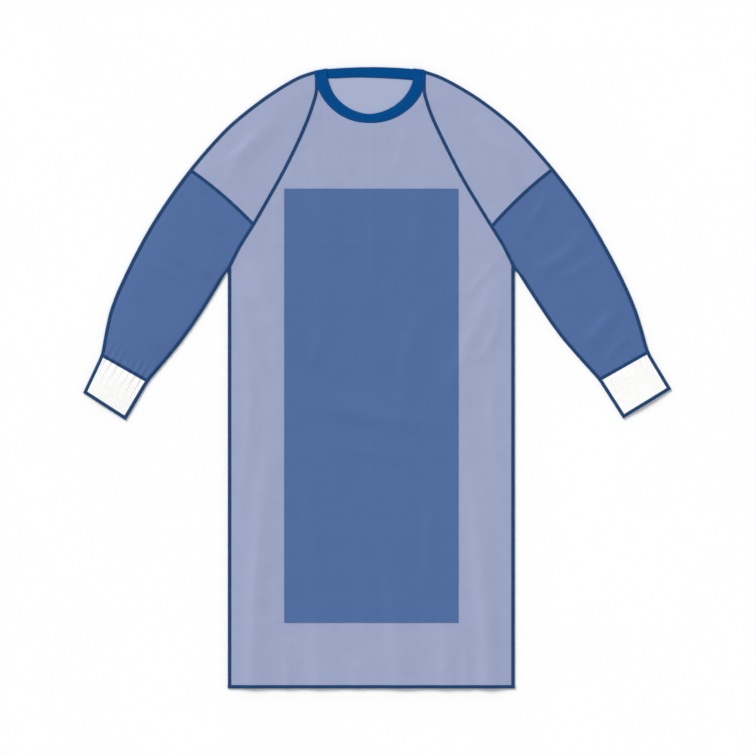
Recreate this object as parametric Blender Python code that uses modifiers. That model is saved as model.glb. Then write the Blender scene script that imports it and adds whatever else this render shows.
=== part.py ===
"""Surgical gown lying flat on its back, front up, sleeves spread.

All sizes are in millimetres and become metres where a mesh is made. The neck points to +Y and the hem to -Y,
the wearer's right sleeve is at -X, and the underside rests on z = 0. The origin is on the underside, on the
body's centre line, half way down the gown.
"""

import math
from collections import namedtuple

import bpy
import numpy as np

MM = 0.001

# Cloth and seams
CLOTH = 1.2
REINFORCEMENT_CLOTH = 1.0
SEAM_GAP = 0.3
SEAM_INSET = 0.2              # each side of a seam that runs across the rows
BINDING_WIDTH = 5.6
BINDING_HEIGHT = 3.9
EDGE_INSET = BINDING_WIDTH + SEAM_GAP
TAPE_HALF_WIDTH = 3.0
TAPE_THICKNESS = 0.9
TAPE_BEVEL = 0.2              # share of the half width that is bevelled off

# Sections of a flat strip and of a folded binding, as shares of the width across and of the height up
STRIP_RING = ((0.0, 0.25), (0.04, 0.0), (0.96, 0.0), (1.0, 0.25), (1.0, 0.7), (0.95, 1.0), (0.05, 1.0),
              (0.0, 0.7))
BINDING_RING = ((0.1, 0.0), (1.0, 0.0), (1.0, 0.92), (0.86, 1.0), (0.23, 1.0), (0.0, 0.6), (0.0, 0.2))

# Body
BODY_HALF_WIDTH = 287.0
ARMPIT_Y = 219.0
ARMPIT_STEP = 3.0             # from the armpit down to where the side seam starts
HEM_Y = -622.0
REINFORCEMENT_HALF_WIDTH = 174.0
REINFORCEMENT_TOP = 377.5
REINFORCEMENT_BOTTOM = -490.0
INNER_FLAP_EDGE = 98.0
OUTER_FLAP_EDGE = -80.0
FLAP_RISE = 25.0              # over which the inner back flap climbs onto the outer one
HEM_BACK_THICKNESS = 1.4
HEM_RISE = 0.6                # a front binding's top above the cloth
CUFF_END_RISE = 0.9

# Neck band: the front run lies between two half ellipses (half width, depth, y of the centre), the back run
# between two flat arches (y of the crown, drop at the band's ends)
NECK_CENTRE_X = -2.0
BAND_OUTER = (112.0, 103.4, 613.0)
BAND_INNER = (87.0, 81.6, 609.0)
BAND_TOP_ARCH = (621.2, 6.2)
BAND_LOW_ARCH = (600.6, 4.6)
ARCH_HALF_WIDTH = 109.0
BAND_CORNER_OUTER = (108.5, 615.0)
BAND_CORNER_INNER = (86.0, 617.0)
BAND_SIDE_ANGLES = (0.0, 7.0, 14.0)
RAGLAN_ANGLE = 20.9           # where the raglan seam meets the band
BAND_THICKNESS = 2.4
BAND_LOW_LEVEL = 3.2          # underside of the front run at the centre front
BAND_RISE = 1.0               # and how much higher it is over the back run
BAND_RISE_FROM = 550.0
BAND_RISE_LENGTH = 25.0
BAND_BACK_THICKNESS = 1.8
BACK_NECK_X = 102.0           # ends of the back neckline
TOP_NECK_X = {"right": 111.0, "left": 107.5}

# Heights of the front layer's top face above the floor
EDGE_LEVEL = 3.4
FRONT_LEVEL = 4.7
HIGHEST_LEVEL = 9.0
EDGE_ROLL = 40.0              # distance from a bound edge at which the cloth reaches its level
FOLD_FADE = 50.0              # and at which a fold reaches its height

# Knit cuffs
RIBS = 22
RIB_HEIGHT = 0.8
PLAIN_END = 5.0               # without ribs, under the joint's tape
RIB_START = 9.0
RIB_SHAPE = ((0.15, 0.0), (0.35, 1.0), (0.65, 1.0), (0.85, 0.0))

# Rows and columns of the cloth
STATION_STEPS = 2             # rows for each row of the sleeve tables
BODY_ROWS = 26
HEM_ROWS = 4
STRIP_COLUMNS = 4
MIDDLE_COLUMNS = 14
BACK_COLUMNS = 8
SLEEVE_COLUMNS = 9
BACK_SLEEVE_COLUMNS = 3
SIDE_SECTIONS = 12
CUFF_KNOTS = 7

# A sleeve from the neck to the cuff end. Each row is a line across it, from the overarm to the inner edge,
# which is the raglan seam down to the armpit and the underarm after it. x is measured out from the centre.
Station = namedtuple("Station", "name outer_x outer_y inner_x inner_y")
SLEEVES = {
    "right": (
        Station("neck", 113.6, 613.6, 106.5, 575.4),
        Station("collar", 150.5, 601.0, 120.5, 535.0),
        Station("shoulder", 212.0, 563.0, 142.5, 481.0),
        Station("chest", 273.5, 515.0, 172.5, 419.0),
        Station("reinforcement_top", 310.2, 479.0, 194.7, REINFORCEMENT_TOP),
        Station("sleeve_joint", 363.8, 417.0, 235.5, 306.0),
        Station("elbow", 414.4, 347.0, 264.5, 260.0),
        Station("armpit", 455.0, 281.0, 285.0, ARMPIT_Y),
        Station("forearm", 494.8, 203.0, 332.5, 139.0),
        Station("wrist", 524.4, 131.0, 380.9, 69.0),
        Station("cuff_joint", 540.5, 46.0, 445.5, -8.0),
        Station("cuff_end", 576.7, -30.5, 491.2, -85.6),
    ),
    "left": (
        Station("neck", 110.0, 613.6, 102.5, 575.4),
        Station("collar", 145.3, 601.0, 117.5, 532.0),
        Station("shoulder", 211.3, 563.0, 140.5, 481.0),
        Station("chest", 274.5, 515.0, 171.5, 419.0),
        Station("reinforcement_top", 311.7, 479.0, 194.5, REINFORCEMENT_TOP),
        Station("sleeve_joint", 364.5, 419.0, 240.5, 302.0),
        Station("elbow", 418.9, 347.0, 266.5, 260.0),
        Station("armpit", 458.5, 283.0, 285.6, ARMPIT_Y + 2.0),
        Station("forearm", 501.3, 203.0, 336.5, 141.0),
        Station("wrist", 532.5, 131.0, 381.5, 77.0),
        Station("cuff_joint", 555.1, 52.0, 454.5, -5.0),
        Station("cuff_end", 600.3, -23.2, 503.8, -82.2),
    ),
}
SIDE_SIGN = {"right": -1.0, "left": 1.0}
STATION_NUMBER = {row.name: number for number, row in enumerate(SLEEVES["right"])}
JOINT = STATION_NUMBER["sleeve_joint"]
ARMPIT = STATION_NUMBER["armpit"]
CUFF = STATION_NUMBER["cuff_joint"]
CUFF_END = STATION_NUMBER["cuff_end"]
PAST_ARMPIT = ARMPIT + 0.03   # station where the underarm seam takes over from the raglan seam
UNDERARM_START = ARMPIT + 0.042
JOINT_BOW = 4.0               # how far the joint seam bows towards the neck
BOW_REACH = 2.0               # stations on each side that bow with it
TAPE_START = 0.3              # share of a station below the neck at which the raglan tape starts

# Soft folds of the front layer: a crest from one point to another, its height and its half width
Fold = namedtuple("Fold", "name x0 y0 x1 y1 height half_width")
FOLDS = (
    Fold("right_drag", -250, 225, -118, 14, 3.2, 22),
    Fold("left_drag", 252, 212, 132, -46, 2.9, 23),
    Fold("right_skirt", -204, -120, -240, -720, 3.6, 23),
    Fold("centre_skirt", 18, -290, 64, -720, 2.7, 26),
    Fold("left_skirt", 198, -190, 234, -720, 3.8, 22),
    Fold("waist", -150, -58, 132, -112, 2.3, 24),
    Fold("right_chest", -132, 452, -74, 250, 1.9, 24),
    Fold("left_chest", 120, 440, 96, 214, 1.7, 25),
    Fold("right_hem", -108, -430, -96, -720, 2.2, 24),
    Fold("left_hem", 146, -470, 136, -720, 2.0, 23),
    Fold("right_shoulder", -184, 522, -292, 388, 2.4, 20),
    Fold("left_shoulder", 200, 512, 298, 372, 2.2, 20),
    Fold("right_elbow", -416, 272, -318, 198, 2.5, 19),
    Fold("left_elbow", 426, 282, 326, 212, 2.3, 19),
    Fold("right_forearm", -488, 134, -418, 40, 2.3, 18),
    Fold("left_forearm", 500, 142, 424, 50, 2.4, 18),
)

# Colour, roughness and metallic value of each material
Finish = namedtuple("Finish", "colour roughness metallic")
FINISHES = {
    "light_cloth": Finish((0.333, 0.376, 0.552, 1.0), 0.75, 0.0),
    "dark_laminate": Finish((0.083, 0.153, 0.347, 1.0), 0.5, 0.0),
    "white_knit": Finish((0.95, 0.95, 0.93, 1.0), 0.85, 0.0),
    "dark_knit": Finish((0.003, 0.065, 0.223, 1.0), 0.7, 0.0),
    "dark_tape": Finish((0.004, 0.065, 0.216, 1.0), 0.6, 0.0),
}


# ---------------------------------------------------------------- scene and meshes

def clear_scene():
    for thing in list(bpy.data.objects):
        bpy.data.objects.remove(thing, do_unlink=True)


def new_collection(name):
    collection = bpy.data.collections.new(name)
    bpy.context.scene.collection.children.link(collection)
    return collection


def material(name):
    """The named finish as a Principled material, made once."""
    found = bpy.data.materials.get(name)
    if found:
        return found
    finish = FINISHES[name]
    made = bpy.data.materials.new(name)
    made.use_nodes = True
    shader = made.node_tree.nodes["Principled BSDF"]
    shader.inputs["Base Color"].default_value = finish.colour
    shader.inputs["Roughness"].default_value = finish.roughness
    shader.inputs["Metallic"].default_value = finish.metallic
    made.diffuse_color = finish.colour
    return made


def add_object(name, points, faces, finish):
    """A mesh object from points in millimetres."""
    mesh = bpy.data.meshes.new(name)
    mesh.from_pydata([tuple(float(value) * MM for value in point) for point in points], [], faces)
    mesh.materials.append(material(finish))
    mesh.update()
    made = bpy.data.objects.new(name, mesh)
    GOWN.objects.link(made)
    return made


def cloth(name, grid, finish, thickness=CLOTH):
    """A wall of cloth under a grid of points (rows by columns), each cell cut into two triangles.

    Rows run from the neck towards the hem or the cuff, columns from -X to +X.
    """
    rows, columns = grid.shape[:2]
    faces = []
    for row in range(rows - 1):
        for column in range(columns - 1):
            a = row * columns + column
            b = a + columns
            faces.append((a, b, b + 1))
            faces.append((a, b + 1, a + 1))
    made = add_object(name, grid.reshape(-1, 3), faces, finish)
    made.data.shade_smooth()
    wall = made.modifiers.new("wall", "SOLIDIFY")
    wall.thickness = thickness * MM
    wall.offset = -1.0


def loft(name, sections, finish):
    """A closed solid through rings of points, one after the other, with a face over each end."""
    count = len(sections[0])
    faces = []
    for ring in range(len(sections) - 1):
        for index in range(count):
            a = ring * count + index
            b = ring * count + (index + 1) % count
            faces.append((a, b, b + count, a + count))
    last = (len(sections) - 1) * count
    faces.append(tuple(range(count - 1, -1, -1)))
    faces.append(tuple(range(last, last + count)))
    face_outwards(add_object(name, np.concatenate(sections), faces, finish).data)


def face_outwards(mesh):
    """Turns every face over where the solid's volume comes out negative."""
    mesh.calc_loop_triangles()
    corners = np.array([vertex.co for vertex in mesh.vertices])
    triangles = np.array([triangle.vertices for triangle in mesh.loop_triangles])
    a, b, c = (corners[triangles[:, index]] for index in range(3))
    if np.einsum("ij,ij->i", a, np.cross(b, c)).sum() < 0:
        mesh.flip_normals()


# ---------------------------------------------------------------- curves in the plane

def smooth_step(value):
    value = np.clip(value, 0.0, 1.0)
    return value * value * (3.0 - 2.0 * value)


def unit(way):
    return way / np.linalg.norm(way, axis=-1, keepdims=True)


def between(start, end, fractions):
    """Points at the fractions of the way from start to end."""
    return start + (end - start) * np.asarray(fractions)[:, None]


def on_curve(points, station):
    """The point at a station number on a smooth curve through the points (Catmull-Rom)."""
    index = min(int(station), len(points) - 2)
    t = station - index
    p1, p2 = points[index], points[index + 1]
    p0 = points[index - 1] if index > 0 else 2 * p1 - p2
    p3 = points[index + 2] if index + 2 < len(points) else 2 * p2 - p1
    return 0.5 * (2 * p1 + (p2 - p0) * t + (2 * p0 - 5 * p1 + 4 * p2 - p3) * t ** 2
                  + (3 * p1 - p0 - 3 * p2 + p3) * t ** 3)


def sleeve_edges(side):
    """The overarm edge and the inner edge of a sleeve, as the points of its table."""
    sign = SIDE_SIGN[side]
    outer = np.array([(sign * row.outer_x, row.outer_y) for row in SLEEVES[side]])
    inner = np.array([(sign * row.inner_x, row.inner_y) for row in SLEEVES[side]])
    return outer, inner


def edge_point(points, station):
    """A point on a sleeve's edge: a smooth curve down to the cuff, whose own part is straight."""
    if station <= CUFF:
        return on_curve(points[:CUFF + 1], station)
    return points[CUFF] + (points[CUFF_END] - points[CUFF]) * (station - CUFF)


def on_band(ellipse, angle, side, outwards=0.0):
    """A point on a neck band ellipse; the angle is in degrees, from 0 at the shoulder to 90 at the front."""
    half_width, depth, level = ellipse
    turn = math.radians(angle)
    x = NECK_CENTRE_X + SIDE_SIGN[side] * (half_width + outwards) * math.cos(turn)
    return np.array((x, level - (depth + outwards) * math.sin(turn)))


def band_angle(point):
    """The angle of a point on the front neckline, as on_band counts it."""
    half_width, depth, level = BAND_OUTER
    return math.degrees(math.atan2((level - point[1]) / depth, abs(point[0] - NECK_CENTRE_X) / half_width))


def neckline_y(x):
    """The front neckline, just outside the neck band."""
    half_width, depth, level = BAND_OUTER
    across = (x - NECK_CENTRE_X) / (half_width + SEAM_GAP)
    return level - (depth + SEAM_GAP) * np.sqrt(np.maximum(0.0, 1.0 - across ** 2))


def arch_y(arch, x):
    crown, drop = arch
    return crown - drop * (x / ARCH_HALF_WIDTH) ** 2


def distance_to_runs(points, runs):
    """The distance from each point to the nearest of some open runs of points."""
    nearest = np.full(len(points), np.inf)
    for run in runs:
        for start, end in zip(run[:-1], run[1:]):
            along = end - start
            t = np.clip((points - start) @ along / (along @ along), 0.0, 1.0)
            nearest = np.minimum(nearest, np.linalg.norm(points - start - t[:, None] * along, axis=1))
    return nearest


def bound_edges():
    """The runs where the front and back layers are sewn together."""
    runs = []
    for side, sign in SIDE_SIGN.items():
        outer, inner = sleeve_edges(side)
        stations = np.linspace(0.0, CUFF_END, CUFF_END * STATION_STEPS + 1)
        runs.append(np.array([edge_point(outer, station) for station in stations]))
        runs.append(np.array([edge_point(inner, station) for station in stations if station >= ARMPIT]))
        runs.append(np.array([inner[ARMPIT], (sign * BODY_HALF_WIDTH, HEM_Y)]))
    return runs


def front_height(points):
    """Height of the front layer's top face: it rolls up from the bound edges and carries the folds."""
    edge = distance_to_runs(points, BOUND_EDGES)
    height = EDGE_LEVEL + (FRONT_LEVEL - EDGE_LEVEL) * smooth_step(edge / EDGE_ROLL)
    relief = np.zeros(len(points))
    for fold in FOLDS:
        crest = np.array(((fold.x0, fold.y0), (fold.x1, fold.y1)), dtype=float)
        away = distance_to_runs(points, [crest])
        relief += fold.height * np.exp(-(away / fold.half_width) ** 2)
    return np.minimum(height + relief * smooth_step(edge / FOLD_FADE), HIGHEST_LEVEL)


def raised(plan):
    """A plan grid (rows by columns by x, y) lifted to the front layer's height."""
    heights = front_height(plan.reshape(-1, 2)).reshape(plan.shape[:2])
    return np.concatenate((plan, heights[..., None]), axis=2)


def laid(plan, level):
    """A plan grid lifted to a level, or to a level for each of its points."""
    heights = np.broadcast_to(level, plan.shape[:2])
    return np.concatenate((plan, heights[..., None]), axis=2)


# ---------------------------------------------------------------- plan of the pieces

def sleeve_stations():
    """Station numbers of a sleeve's rows, with a short step just past the armpit."""
    steps = np.linspace(0.0, CUFF, CUFF * STATION_STEPS + 1)
    return sorted([*steps, PAST_ARMPIT])


def row_of(station):
    """The row of a station, in a sleeve's grid and, down to the armpit, in the body's."""
    return SLEEVE_STATIONS.index(float(station))


def sleeve_row(side, station, columns):
    """One line of points across a sleeve, from the overarm seam to the inner seam."""
    outer, inner = sleeve_edges(side)
    start, end = edge_point(outer, station), edge_point(inner, station)
    across = unit(end - start)
    inner_inset = SEAM_INSET if station <= ARMPIT else EDGE_INSET
    fractions = np.linspace(0.0, 1.0, columns + 1)
    row = between(start + across * EDGE_INSET, end - across * inner_inset, fractions)
    along = unit(edge_point(outer, station + 0.1) - start)
    bow = JOINT_BOW * max(0.0, 1.0 - abs(station - JOINT) / BOW_REACH)
    return row - along * (bow * 4.0 * fractions * (1.0 - fractions))[:, None]


def sleeve_plan(side, columns):
    return np.array([sleeve_row(side, station, columns) for station in SLEEVE_STATIONS])


def front_sleeve_plan(side):
    """The sleeve's front half: its neck end follows the neck band."""
    plan = sleeve_plan(side, SLEEVE_COLUMNS)
    first = math.degrees(math.asin(EDGE_INSET / BAND_OUTER[1]))
    angles = np.linspace(first, RAGLAN_ANGLE, SLEEVE_COLUMNS + 1)
    plan[0] = [on_band(BAND_OUTER, angle, side, SEAM_GAP) for angle in angles]
    return plan


def back_sleeve_plan(side):
    """The sleeve's back half: its raglan seam runs on up to the back neck."""
    plan = sleeve_plan(side, BACK_SLEEVE_COLUMNS)
    end = np.array((SIDE_SIGN[side] * (BACK_NECK_X + SEAM_INSET), arch_y(BAND_LOW_ARCH, BACK_NECK_X)))
    plan[0] = between(plan[0][0], end, np.linspace(0.0, 1.0, BACK_SLEEVE_COLUMNS + 1))
    return plan


def in_two(plan):
    """A sleeve's plan parted at the joint seam, with the seam's gap between the two."""
    joint = row_of(JOINT)
    upper, lower = plan[:joint + 1].copy(), plan[joint:].copy()
    step = unit(plan[joint + 1] - plan[joint]) * SEAM_INSET
    upper[-1] -= step
    lower[0] += step
    lower[-1] -= unit(plan[-1] - plan[-2]) * SEAM_INSET
    return upper, lower


def body_ends(side_rows, neck_y=None):
    """The ends of the body's rows on both sides: down the raglan seams, past the armpits, down to the hem."""
    ends = []
    for side, sign in SIDE_SIGN.items():
        _, inner = sleeve_edges(side)
        stations = np.linspace(0.0, ARMPIT, ARMPIT * STATION_STEPS + 1)
        run = [edge_point(inner, station) - (sign * SEAM_INSET, 0.0) for station in stations]
        if neck_y is not None:
            run[0] = np.array((sign * (BACK_NECK_X - SEAM_INSET), neck_y))
        side_x = sign * (BODY_HALF_WIDTH - EDGE_INSET)
        run += [np.array((side_x, y)) for y in (inner[ARMPIT][1] - ARMPIT_STEP, *side_rows)]
        ends.append(run)
    return ends


def front_panel_plan():
    """Rows of the front panel; where there is room its middle columns keep the reinforcement's lines."""
    side_rows = [*np.linspace(ARMPIT_Y, REINFORCEMENT_BOTTOM, BODY_ROWS + 1)[1:],
                 *np.linspace(REINFORCEMENT_BOTTOM, HEM_Y + EDGE_INSET, HEM_ROWS + 1)[1:]]
    rights, lefts = body_ends(side_rows)
    top_row = row_of(STATION_NUMBER["reinforcement_top"])
    neck_right, neck_left = rights[0], lefts[0]
    middle_share = REINFORCEMENT_HALF_WIDTH / abs(rights[top_row][0])
    rows = []
    for index, (right, left) in enumerate(zip(rights, lefts)):
        middle = min(REINFORCEMENT_HALF_WIDTH, middle_share * 0.5 * (left[0] - right[0]))
        x = np.concatenate((np.linspace(right[0], -middle, STRIP_COLUMNS + 1)[:-1],
                            np.linspace(-middle, middle, MIDDLE_COLUMNS + 1),
                            np.linspace(middle, left[0], STRIP_COLUMNS + 1)[1:]))
        y = np.interp(x, (right[0], left[0]), (right[1], left[1]))
        if index < top_row:
            # the neckline's dip fades out towards the reinforcement's top edge
            neck_x = x * (neck_left[0] - neck_right[0]) / (left[0] - right[0])
            dip = neckline_y(np.clip(neck_x, neck_right[0], neck_left[0])) - neck_right[1]
            y = y + dip * (1.0 - index / top_row)
        rows.append(np.stack((x, y), axis=1))
    return np.array(rows)


def flap_places(start, end):
    """Places in x from one end of a back flap to the other, one of them over the outer flap's edge."""
    if start >= OUTER_FLAP_EDGE:
        return np.linspace(start, end, BACK_COLUMNS + 1)
    half = BACK_COLUMNS // 2 + 1
    return np.concatenate((np.linspace(start, OUTER_FLAP_EDGE, half),
                           np.linspace(OUTER_FLAP_EDGE, end, half)[1:]))


def back_flap_plan(from_x, to_x):
    """Rows of one back panel between two limits in x, cut off by the raglan seams and the sides."""
    side_rows = [0.5 * (ARMPIT_Y + HEM_Y), HEM_Y + EDGE_INSET]
    rows = []
    for right, left in zip(*body_ends(side_rows, arch_y(BAND_LOW_ARCH, BACK_NECK_X))):
        x = flap_places(max(from_x, right[0]), min(to_x, left[0]))
        y = np.interp(x, (right[0], left[0]), (right[1], left[1])) if rows else arch_y(BAND_LOW_ARCH, x)
        rows.append(np.stack((x, y), axis=1))
    return np.array(rows)


def on_outer_flap(x, height, rise_from):
    """How far something of the inner flap is lifted at x by what it lies on there, of a given height."""
    return (height + SEAM_GAP) * smooth_step((x - rise_from) / (OUTER_FLAP_EDGE - rise_from))


# ---------------------------------------------------------------- body and reinforcement

def make_body():
    """The front panel and the two back flaps; gives the front panel's grid for what lies on it."""
    panel = raised(front_panel_plan())
    cloth("front_panel", panel, "light_cloth")
    inner = back_flap_plan(-BODY_HALF_WIDTH, INNER_FLAP_EDGE)
    lift = on_outer_flap(inner[..., 0], CLOTH, OUTER_FLAP_EDGE - FLAP_RISE)
    cloth("back_panel_inner", laid(inner, CLOTH + lift), "light_cloth")
    cloth("back_panel_outer", laid(back_flap_plan(OUTER_FLAP_EDGE, BODY_HALF_WIDTH), CLOTH), "light_cloth")
    return panel


def make_reinforcement(panel):
    """A second layer over the middle of the front panel, made from the panel's own points."""
    first_row = row_of(STATION_NUMBER["reinforcement_top"])
    last_row = panel.shape[0] - 1 - HEM_ROWS
    area = panel[first_row:last_row + 1, STRIP_COLUMNS:STRIP_COLUMNS + MIDDLE_COLUMNS + 1]
    cloth("front_reinforcement", area + (0.0, 0.0, SEAM_GAP + REINFORCEMENT_CLOTH), "dark_laminate",
          REINFORCEMENT_CLOTH)


# ---------------------------------------------------------------- sleeves and cuffs

def turned(side, grid):
    """A sleeve grid with its columns running from -X to +X."""
    return grid if side == "right" else grid[:, ::-1]


def make_sleeve(side):
    """The four sleeve pieces of one side; gives the front half as one grid for what lies on it."""
    front, back = front_sleeve_plan(side), back_sleeve_plan(side)
    for part, finish, front_plan, back_plan in zip(("upper", "lower"), ("light_cloth", "dark_laminate"),
                                                   in_two(front), in_two(back)):
        cloth(f"sleeve_{side}_{part}_front", turned(side, raised(front_plan)), finish)
        cloth(f"sleeve_{side}_{part}_back", turned(side, laid(back_plan, CLOTH)), finish)
    return raised(front)


def cuff_corners(side):
    """Corners of a cuff's cloth: outer and inner at the joint, outer and inner at the end."""
    outer, inner = sleeve_edges(side)
    along = unit(outer[CUFF_END] - outer[CUFF])
    corners = []
    for station, inset in ((CUFF, SEAM_INSET), (CUFF_END, -EDGE_INSET)):
        across = unit(inner[station] - outer[station])
        corners.append(outer[station] + across * EDGE_INSET + along * inset)
        corners.append(inner[station] - across * EDGE_INSET + along * inset)
    return corners


def cuff_height(start, end, places):
    """The cuff's top face across one of its sections, as straight runs between a few heights."""
    knots = np.linspace(0.0, 1.0, CUFF_KNOTS)
    return np.interp(places, knots, front_height(between(start, end, knots)))


def rib_profile():
    """Places across a cuff from 0 to 1, and the rib's share of its height at each."""
    points = [((rib + place) / RIBS, rise) for rib in range(RIBS) for place, rise in RIB_SHAPE]
    return np.array([(0.0, 0.0), *points, (1.0, 0.0)]).T


def make_cuff(side):
    """A rib-knit cuff: a front half with ribs raised on its outer face, and a plain back half lying flat."""
    joint_outer, joint_inner, end_outer, end_inner = cuff_corners(side)
    length = np.linalg.norm(end_outer - joint_outer)
    places, rises = rib_profile()
    under = np.linspace(1.0, 0.0, CUFF_KNOTS)
    sections = []
    for way, share in ((0.0, 0.0), (PLAIN_END, 0.0), (RIB_START, 1.0), (length, 1.0)):
        start = joint_outer + (end_outer - joint_outer) * way / length
        end = joint_inner + (end_inner - joint_inner) * way / length
        top_height = cuff_height(start, end, places) + rises * share * RIB_HEIGHT
        low_height = cuff_height(start, end, under) - CLOTH
        sections.append(np.concatenate((np.column_stack((between(start, end, places), top_height)),
                                        np.column_stack((between(start, end, under), low_height)))))
    loft(f"cuff_{side}_front", sections, "white_knit")
    plan = np.array([[joint_outer, joint_inner], [end_outer, end_inner]])
    cloth(f"cuff_{side}_back", turned(side, laid(plan, CLOTH)), "white_knit")


# ---------------------------------------------------------------- neck band

def strip_section(start, end, low, thickness):
    """A ring round a flat strip's section, from one edge to the other, with its edges rounded off."""
    way = end - start
    return np.array([(*(start + way * across), low + thickness * rise) for across, rise in STRIP_RING])


def make_neckband(panel):
    """The front run, with a section at each point of the front neckline, and a run on each back flap."""
    neckline = [("right" if point[0] < NECK_CENTRE_X else "left", band_angle(point)) for point in panel[0]]
    stations = [("right", angle) for angle in BAND_SIDE_ANGLES] + neckline
    stations += [("left", angle) for angle in reversed(BAND_SIDE_ANGLES)]
    pairs = [(on_band(BAND_OUTER, angle, side), on_band(BAND_INNER, angle, side)) for side, angle in stations]
    for index, sign in ((0, -1.0), (len(pairs), 1.0)):
        corner = [np.array((NECK_CENTRE_X + sign * x, y)) for x, y in (BAND_CORNER_OUTER, BAND_CORNER_INNER)]
        pairs.insert(index, corner)
    sections = []
    for outer, inner in pairs:
        low = BAND_LOW_LEVEL + BAND_RISE * smooth_step((outer[1] - BAND_RISE_FROM) / BAND_RISE_LENGTH)
        sections.append(strip_section(inner, outer, low, BAND_THICKNESS))
    loft("neckband_front", sections, "dark_knit")
    low_ends, top_ends = (-BACK_NECK_X, BACK_NECK_X), (-TOP_NECK_X["right"], TOP_NECK_X["left"])
    back_band("neckband_back_outer", (OUTER_FLAP_EDGE, low_ends[1]), (OUTER_FLAP_EDGE, top_ends[1]), 0.0)
    back_band("neckband_back_inner", (low_ends[0], INNER_FLAP_EDGE), (top_ends[0], INNER_FLAP_EDGE),
              BAND_BACK_THICKNESS)


def back_band(name, low_ends, top_ends, lies_on):
    """A run of neck band between the two arches, from x to x, lying on something of a given thickness."""
    sections = []
    for low_x, top_x in zip(flap_places(*low_ends), flap_places(*top_ends)):
        low = np.array((low_x, arch_y(BAND_LOW_ARCH, low_x) + SEAM_GAP))
        top = np.array((top_x, arch_y(BAND_TOP_ARCH, top_x)))
        lift = on_outer_flap(low_x, lies_on, top_ends[0]) if lies_on else 0.0
        sections.append(strip_section(low, top, lift, BAND_BACK_THICKNESS))
    loft(name, sections, "dark_knit")


# ---------------------------------------------------------------- bindings and tapes

def binding(name, edge, inward, low=0.0, height=BINDING_HEIGHT):
    """A bound seam along an edge: a folded tape with a rounded outer side, reaching inwards from the edge."""
    sections = []
    for point, way, base in zip(edge, inward, np.broadcast_to(low, len(edge))):
        sections.append(np.array([(*(point + way * BINDING_WIDTH * reach), base + height * up)
                                  for reach, up in BINDING_RING]))
    loft(name, sections, "dark_tape")


def make_sleeve_bindings(side):
    """The overarm and underarm seams, from the neck and the armpit to the cuff's end."""
    outer, inner = sleeve_edges(side)
    whole = [*np.linspace(0.0, CUFF, CUFF * STATION_STEPS + 1), CUFF_END]
    under = [UNDERARM_START] + [station for station in whole if station > ARMPIT]
    for name, stations, edge, other in (("overarm", whole, outer, inner), ("underarm", under, inner, outer)):
        points = [edge_point(edge, station) for station in stations]
        ways = [unit(edge_point(other, station) - point) for station, point in zip(stations, points)]
        binding(f"{name}_binding_{side}", points, ways)


def make_side_binding(side):
    """The body's side seam, from just under the armpit to the hem binding."""
    _, inner = sleeve_edges(side)
    top = inner[ARMPIT][1] - 1.5 * ARMPIT_STEP
    x = SIDE_SIGN[side] * BODY_HALF_WIDTH
    edge = [np.array((x, y)) for y in np.linspace(top, HEM_Y + EDGE_INSET, SIDE_SECTIONS)]
    binding(f"side_binding_{side}", edge, [np.array((-SIDE_SIGN[side], 0.0))] * len(edge))


def make_hem_bindings(panel):
    """A binding along the bottom of the front panel, and one along each back flap."""
    up = np.array((0.0, 1.0))
    hem = panel[-1]
    places = [-BODY_HALF_WIDTH, *hem[:, 0], BODY_HALF_WIDTH]
    low = np.interp(places, hem[:, 0], hem[:, 2]) - CLOTH
    edge = [np.array((x, HEM_Y)) for x in places]
    binding("hem_binding_front", edge, [up] * len(edge), low, CLOTH + HEM_RISE)
    for name, start, end in (("outer", OUTER_FLAP_EDGE, BODY_HALF_WIDTH),
                             ("inner", -BODY_HALF_WIDTH, INNER_FLAP_EDGE)):
        edge = [np.array((x, HEM_Y)) for x in flap_places(start, end)]
        low = 0.0
        if name == "inner":
            low = [on_outer_flap(point[0], HEM_BACK_THICKNESS, OUTER_FLAP_EDGE - FLAP_RISE) for point in edge]
        binding(f"hem_binding_back_{name}", edge, [up] * len(edge), low, HEM_BACK_THICKNESS)


def make_cuff_end_bindings(side):
    """The bound end of a cuff: one on the front half, one under it on the back half."""
    _, _, end_outer, end_inner = cuff_corners(side)
    outer, _ = sleeve_edges(side)
    along = unit(outer[CUFF_END] - outer[CUFF])
    knots = np.linspace(0.0, 1.0, CUFF_KNOTS)
    edge = between(end_outer, end_inner, knots) + along * EDGE_INSET
    low = cuff_height(end_outer, end_inner, knots) - CLOTH
    binding(f"cuff_end_binding_{side}_front", edge, [-along] * len(edge), low, CLOTH + CUFF_END_RISE)
    ends = edge[[0, -1]]
    binding(f"cuff_end_binding_{side}_back", ends, [-along] * len(ends), 0.0, HEM_BACK_THICKNESS)


def tape(name, first, seam, second):
    """A tape over a seam: three runs of points on the cloth, moved out, with the seam in the middle."""
    under = np.array((0.0, 0.0, SEAM_GAP))
    over = np.array((0.0, 0.0, SEAM_GAP + TAPE_THICKNESS))
    half_way = 0.5 * (under + over)
    sections = []
    for a, b, c in zip(first, seam, second):
        top_a, top_c = a + (b - a) * TAPE_BEVEL + over, c + (b - c) * TAPE_BEVEL + over
        sections.append(np.array((a + under, b + under, c + under, c + half_way, top_c, b + over, top_a,
                                  a + half_way)))
    loft(name, sections, "dark_tape")


def beside(edge, inner):
    """Points on the cloth, half a tape's width in from its edge towards the next column or row."""
    way = inner - edge
    reach = np.linalg.norm(way[:, :2], axis=1, keepdims=True)
    return edge + way * np.minimum(TAPE_HALF_WIDTH / reach, 1.0)


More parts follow.
